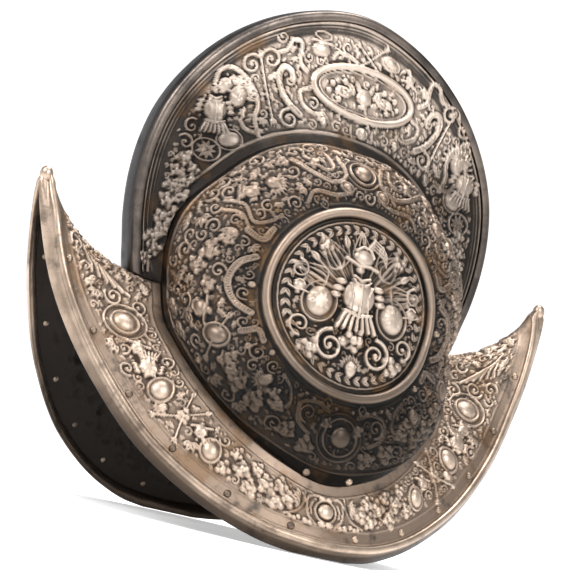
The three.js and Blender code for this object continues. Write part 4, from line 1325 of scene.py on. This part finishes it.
def solid_piece(name, points, darkened, faces, finish, nodes):
    """A finished piece, in metres, that carries how far each of its points is darkened."""
    mesh = bpy.data.meshes.new(name)
    mesh.from_pydata((points * MM).tolist(), [], faces)
    mesh.attributes.new("darkened", "FLOAT", "POINT").data.foreach_set("value", np.float32(darkened))
    tidy = bmesh.new()
    tidy.from_mesh(mesh)
    bmesh.ops.remove_doubles(tidy, verts=tidy.verts, dist=1e-6)
    bmesh.ops.recalc_face_normals(tidy, faces=tidy.faces)
    tidy.to_mesh(mesh)
    tidy.free()
    set_piece(name, mesh, finish, nodes)


# Its last colour is the painted shade of the lip turned under the bead.
edge_iron = smooth_metal("edge_iron", tone(196, 175, 157), tone(140, 123, 108), 0.32, tone(40, 31, 25))
s_edge = np.linspace(0, 2, EDGE_COLUMNS)
bead, along, out, off, under = brim_frame(s_edge)
bead_turn = np.linspace(math.radians(-35), math.radians(215), 13)
bead_section = np.stack([-0.75 + 2.2 * np.cos(bead_turn), 0.5 + 1.55 * np.sin(bead_turn)], -1)
edge_rings = []
for n in range(EDGE_COLUMNS):
    lip = np.array([
        [-0.35, 0.3],
        [-0.35, -1.2],
        [TURN_OUT - 0.5, -under[n] - LIP_THICK],
        [TURN_OUT + 0.35, -under[n] - 0.5],
        [TURN_OUT + 0.5, 0.3 - under[n]],
        [TURN_OUT * 0.55, -0.42 * under[n] + 0.5],
    ])
    section = np.concatenate([bead_section, lip])
    narrowed = 0.45 + 0.55 * fade(min(s_edge[n], 2 - s_edge[n]) / TIP_NARROWING)
    section[:, 0] = KNOB_OUT + (section[:, 0] - KNOB_OUT) * narrowed
    edge_rings.append(bead[n] + section[:, :1] * out[n] + section[:, 1:] * off[n])
edge_rings = np.array(edge_rings)
edge_points, edge_faces = swept(edge_rings)
edge_count = len(edge_points)
# Painted shade: the lip turned under the bead faces down and darkens, most near the floor.
lip_shade = np.concatenate([np.zeros(len(bead_section)), [0.2, 0.6, 1, 1, 1, 1]])
edge_shade = (lip_shade * (1 - fade((edge_rings[..., 2] - 35) / 90))).ravel()
for n in (0, -1):
    u, w = np.meshgrid(np.linspace(0, 2 * math.pi, 25), np.linspace(-math.pi / 2, math.pi / 2, 17))
    ball = np.stack([np.cos(w) * np.cos(u), np.cos(w) * np.sin(u), np.sin(w)], -1) * KNOB_RADII
    knob = bead[n] * (1, 0, 1) + KNOB_OUT * out[n] + (0, 0, -KNOB_DROP)
    knob = knob + ball[..., :1] * out[n] + ball[..., 1:2] * (0, -1, 0) - ball[..., 2:] * along[n]
    start = len(edge_points)
    ids = start + np.arange(17 * 25).reshape(17, 25)
    edge_points = np.concatenate([edge_points, knob.reshape(-1, 3)])
    edge_faces += cells(ids).tolist()
knob_shade = np.zeros(len(edge_points) - edge_count)
start = len(edge_points)
edge_points = np.concatenate([edge_points, edge_points[:edge_count] * (1, -1, 1)])
edge_faces += [[start + i for i in face[::-1]] for face in edge_faces if max(face) < edge_count]
edge_shade = np.concatenate([edge_shade, knob_shade, edge_shade])
edge_points[:, 2] = np.maximum(edge_points[:, 2], 0)
solid_piece("brim_edge", edge_points, edge_shade, edge_faces, edge_iron, ["brim_edge"])

# The comb's edge: a smooth channel of heavier iron slipped over both faces of the comb and closed down, with
# a rounded top and flat side lips.
RIM_COLUMNS = 361
RIM_FOOT = 133.3
rim_iron = smooth_metal("rim_iron", tone(127, 116, 108), tone(72, 67, 64), 0.3, tone(46, 45, 47))
rim_corners = [[0.0, -4.8], [-1.3, -9.3], [-6.4, -9.3], [-6.4, -7.9], [-2.6, -7.9],
               [-2.6, 7.9], [-6.4, 7.9], [-6.4, 9.3], [-1.3, 9.3], [0.0, 4.8]]
rim_section = round_off(rim_corners, 2.2)
w_rim = np.linspace(-0.01, 1.01, RIM_COLUMNS)
here = crown_point(w_rim, 0)
ahead = crown_point(w_rim + 0.004, 0) - crown_point(w_rim - 0.004, 0)
ahead[:, 1] = 0
ahead /= np.linalg.norm(ahead, axis=1, keepdims=True)
rise = np.stack([-ahead[:, 2], np.zeros(RIM_COLUMNS), ahead[:, 0]], -1)
rim_rings = []
for n in range(RIM_COLUMNS):
    flat = here[n] * (1, 0, 1)
    rim_rings.append(flat + rim_section[:, :1] * rise[n] + rim_section[:, 1:] * (0, 1, 0))
rim_rings = np.array(rim_rings)
rim_rings[..., 2] = np.maximum(rim_rings[..., 2], RIM_FOOT)
rim_points, rim_faces = swept(rim_rings)
# The rim is darker along its top, toward its last colour.
rim_darkened = 1 - np.clip((np.abs(rim_points[:, 1]) - 6.2) / 1.8, 0, 1)
solid_piece("comb_rim", rim_points, rim_darkened, rim_faces, rim_iron, ["comb_rim"])

# The rivets: low round heads of soft iron, set cold through the sheet to hold a lining. They stand along the
# brim's plain band, with four more above the foot of the bowl on either side.
BRIM_RIVETS = np.array([0.212, 0.367, 0.505, 0.638, 0.775, 0.92])
RIVET_INSET = 6.0
BOWL_RIVETS = [(14.0, 2.6), (80.0, 4.5)]
rivet_spots = []
rivet_facing = []
for s in np.concatenate([BRIM_RIVETS, 2 - BRIM_RIVETS[::-1]]):
    span = np.interp(s, s_line, width_line)
    places = brim_spot(np.array([s, s, s - 0.01, s + 0.01]),
                       1 - np.array([RIVET_INSET, RIVET_INSET + 2, RIVET_INSET, RIVET_INSET]) / span)
    facing = np.cross(places[0] - places[1], places[3] - places[2])
    rivet_spots.append(places[0])
    rivet_facing.append(facing / np.linalg.norm(facing))
for x, rise_up in BOWL_RIVETS:
    k = np.interp(-x, -foot_length(np.linspace(0, 1, 500)), np.linspace(0, 1, 500))
    z = foot_height(k) + rise_up
    for side in (-1, 1):
        here = np.array([side * x, -bowl_width(side * x, z), z])
        slope_x = bowl_width(side * x + 0.5, z) - bowl_width(side * x - 0.5, z)
        slope_z = bowl_width(side * x, z + 0.5) - bowl_width(side * x, z - 0.5)
        facing = np.array([-slope_x, -1, -slope_z])
        rivet_spots.append(here)
        rivet_facing.append(facing / np.linalg.norm(facing))
spots = np.array(rivet_spots)
facings = np.array(rivet_facing)
spots = np.concatenate([spots, spots * (1, -1, 1)]) * MM
facings = np.concatenate([facings, facings * (1, -1, 1)])
rivet_iron = smooth_metal("rivet_iron", tone(176, 156, 138), tone(104, 90, 78), 0.35, tone(44, 36, 30))

rivet_tree = bpy.data.node_groups.new("rivets", "GeometryNodeTree")
rivet_tree.interface.new_socket("Places", in_out="INPUT", socket_type="NodeSocketGeometry")
RIVET_SIZES = {"Head radius": 2.3, "Head height": 1.8, "Shank radius": 1.0, "Shank length": 3.0}
rivet_sizes = {}
for label, size in RIVET_SIZES.items():
    entry = rivet_tree.interface.new_socket(label, in_out="INPUT", socket_type="NodeSocketFloat")
    rivet_sizes[entry.identifier] = size * MM
rivet_tree.interface.new_socket("Rivets", in_out="OUTPUT", socket_type="NodeSocketGeometry")


def rivet_node(kind, links=(), values=()):
    """A node of the rivet tree, with its links from (node, output) pairs and its plain values."""
    made = rivet_tree.nodes.new(kind)
    for key, (source, output) in dict(links).items():
        rivet_tree.links.new(source.outputs[output], made.inputs[key])
    for key, value in dict(values).items():
        made.inputs[key].default_value = value
    return made


start = rivet_node("NodeGroupInput")
head = rivet_node("GeometryNodeMeshUVSphere", values={"Segments": 20, "Rings": 12, "Radius": 1.0})
head_size = rivet_node("ShaderNodeCombineXYZ", {
    "X": (start, "Head radius"),
    "Y": (start, "Head radius"),
    "Z": (start, "Head height"),
})
dome = rivet_node("GeometryNodeTransform", {"Geometry": (head, "Mesh"), "Scale": (head_size, 0)})
shank = rivet_node("GeometryNodeMeshCylinder", {
    "Radius": (start, "Shank radius"),
    "Depth": (start, "Shank length"),
}, {"Vertices": 16})
both = rivet_tree.nodes.new("GeometryNodeJoinGeometry")
rivet_tree.links.new(dome.outputs[0], both.inputs[0])
rivet_tree.links.new(shank.outputs["Mesh"], both.inputs[0])
direction = rivet_tree.nodes.new("GeometryNodeInputNamedAttribute")
direction.data_type = "FLOAT_VECTOR"
direction.inputs["Name"].default_value = "facing"
aligned = rivet_node("FunctionNodeAlignEulerToVector", {"Vector": (direction, 0)})
aligned.axis = "Z"
places = rivet_node("GeometryNodeMeshToPoints", {"Mesh": (start, "Places")})
placed = rivet_node("GeometryNodeInstanceOnPoints", {
    "Points": (places, 0),
    "Instance": (both, 0),
    "Rotation": (aligned, 0),
})
real = rivet_node("GeometryNodeRealizeInstances", {"Geometry": (placed, 0)})
rivet_node("NodeGroupOutput", {"Rivets": (real, 0)})

seed_mesh = bpy.data.meshes.new("rivet_places")
seed_mesh.from_pydata(spots.tolist(), [], [])
field = seed_mesh.attributes.new("facing", "FLOAT_VECTOR", "POINT")
field.data.foreach_set("vector", facings.astype(np.float32).ravel())
seed = bpy.data.objects.new("rivet_places", seed_mesh)
bpy.context.collection.objects.link(seed)
modifier = seed.modifiers.new("rivets", "NODES")
modifier.node_group = rivet_tree
for identifier, size in rivet_sizes.items():
    modifier[identifier] = size
graph = bpy.context.evaluated_depsgraph_get()
rivet_mesh = bpy.data.meshes.new_from_object(seed.evaluated_get(graph))
rivet_mesh.materials.clear()
bpy.data.objects.remove(seed)
rivet_nodes = [f"brim_rivet_{n:02d}" for n in range(1, 25)] + [f"bowl_rivet_{n:02d}" for n in range(1, 9)]
set_piece("rivets", rivet_mesh, rivet_iron, rivet_nodes)

# The floor is a pale sheet that curves up into a low wall all round. The side behind the viewer is dimmer.
FLOOR_DROP = 0.0006
FLOOR_SIDES = 72
WALL_START = 4.0
WALL_BEND = 1.6
WALL_HEIGHT = 2.6


def paper(name, glow):
    """Matt white paper that glows a little, so that the ground stays pale."""
    material = bpy.data.materials.new(name)
    material.use_nodes = True
    shader = material.node_tree.nodes["Principled BSDF"]
    shader.inputs["Base Color"].default_value = (1, 1, 1, 1)
    shader.inputs["Roughness"].default_value = 0.9
    shader.inputs["Emission Color"].default_value = (1, 1, 1, 1)
    shader.inputs["Emission Strength"].default_value = glow
    return material


profile = [(0.35, 0.0), (1.5, 0.0), (WALL_START, 0.0)]
for degrees in range(10, 91, 10):
    bend = math.radians(degrees)
    profile.append((WALL_START + WALL_BEND * math.sin(bend), WALL_BEND - WALL_BEND * math.cos(bend)))
profile.append((WALL_START + WALL_BEND, WALL_HEIGHT))
floor_points = [(0.0, 0.0, -FLOOR_DROP)]
floor_faces = []
for radius, lift in profile:
    for n in range(FLOOR_SIDES):
        turn = 2 * math.pi * n / FLOOR_SIDES
        floor_points.append((radius * math.cos(turn), radius * math.sin(turn), lift - FLOOR_DROP))
for n in range(FLOOR_SIDES):
    m = (n + 1) % FLOOR_SIDES
    floor_faces.append((0, 1 + n, 1 + m))
    for ring in range(len(profile) - 1):
        a = 1 + ring * FLOOR_SIDES
        b = a + FLOOR_SIDES
        floor_faces.append((a + n, b + n, b + m, a + m))
floor_mesh = bpy.data.meshes.new("floor")
floor_mesh.from_pydata(floor_points, [], floor_faces)
floor_mesh.shade_smooth()
floor_mesh.materials.append(paper("pale_paper", 0.42))
floor_mesh.materials.append(paper("shaded_paper", 0.15))
for face in floor_mesh.polygons:
    if face.center.x * toward_viewer.x + face.center.y * toward_viewer.y > 0.4:
        face.material_index = 1
floor = bpy.data.objects.new("floor", floor_mesh)
bpy.context.collection.objects.link(floor)

# Soft studio light: a large panel high at the left, a weaker one at the right, and one overhead.
world = bpy.data.worlds.new("studio")
world.use_nodes = True
world.node_tree.nodes["Background"].inputs["Color"].default_value = (1, 1, 1, 1)
world.node_tree.nodes["Background"].inputs["Strength"].default_value = 0.3
bpy.context.scene.world = world
PANELS = [
    # name, right, up, toward the viewer, width, power
    ("key", -1.0, 1.4, 1.0, 0.8, 26.0),
    ("front", 1.1, 1.2, 1.5, 0.7, 21.0),
    ("overhead", 0.2, 1.8, -0.3, 1.0, 34.0),
]
for name, right, up, near, width, power in PANELS:
    lamp = bpy.data.lights.new(name, "AREA")
    lamp.size = width
    lamp.energy = power
    spot = VIEW_TARGET + level_right * right + Vector((0, 0, up)) + toward_viewer * near
    panel = bpy.data.objects.new(name, lamp)
    panel.location = spot
    panel.rotation_euler = (spot - VIEW_TARGET).to_track_quat("Z", "Y").to_euler()
    bpy.context.collection.objects.link(panel)
bpy.context.scene.view_settings.view_transform = "Standard"
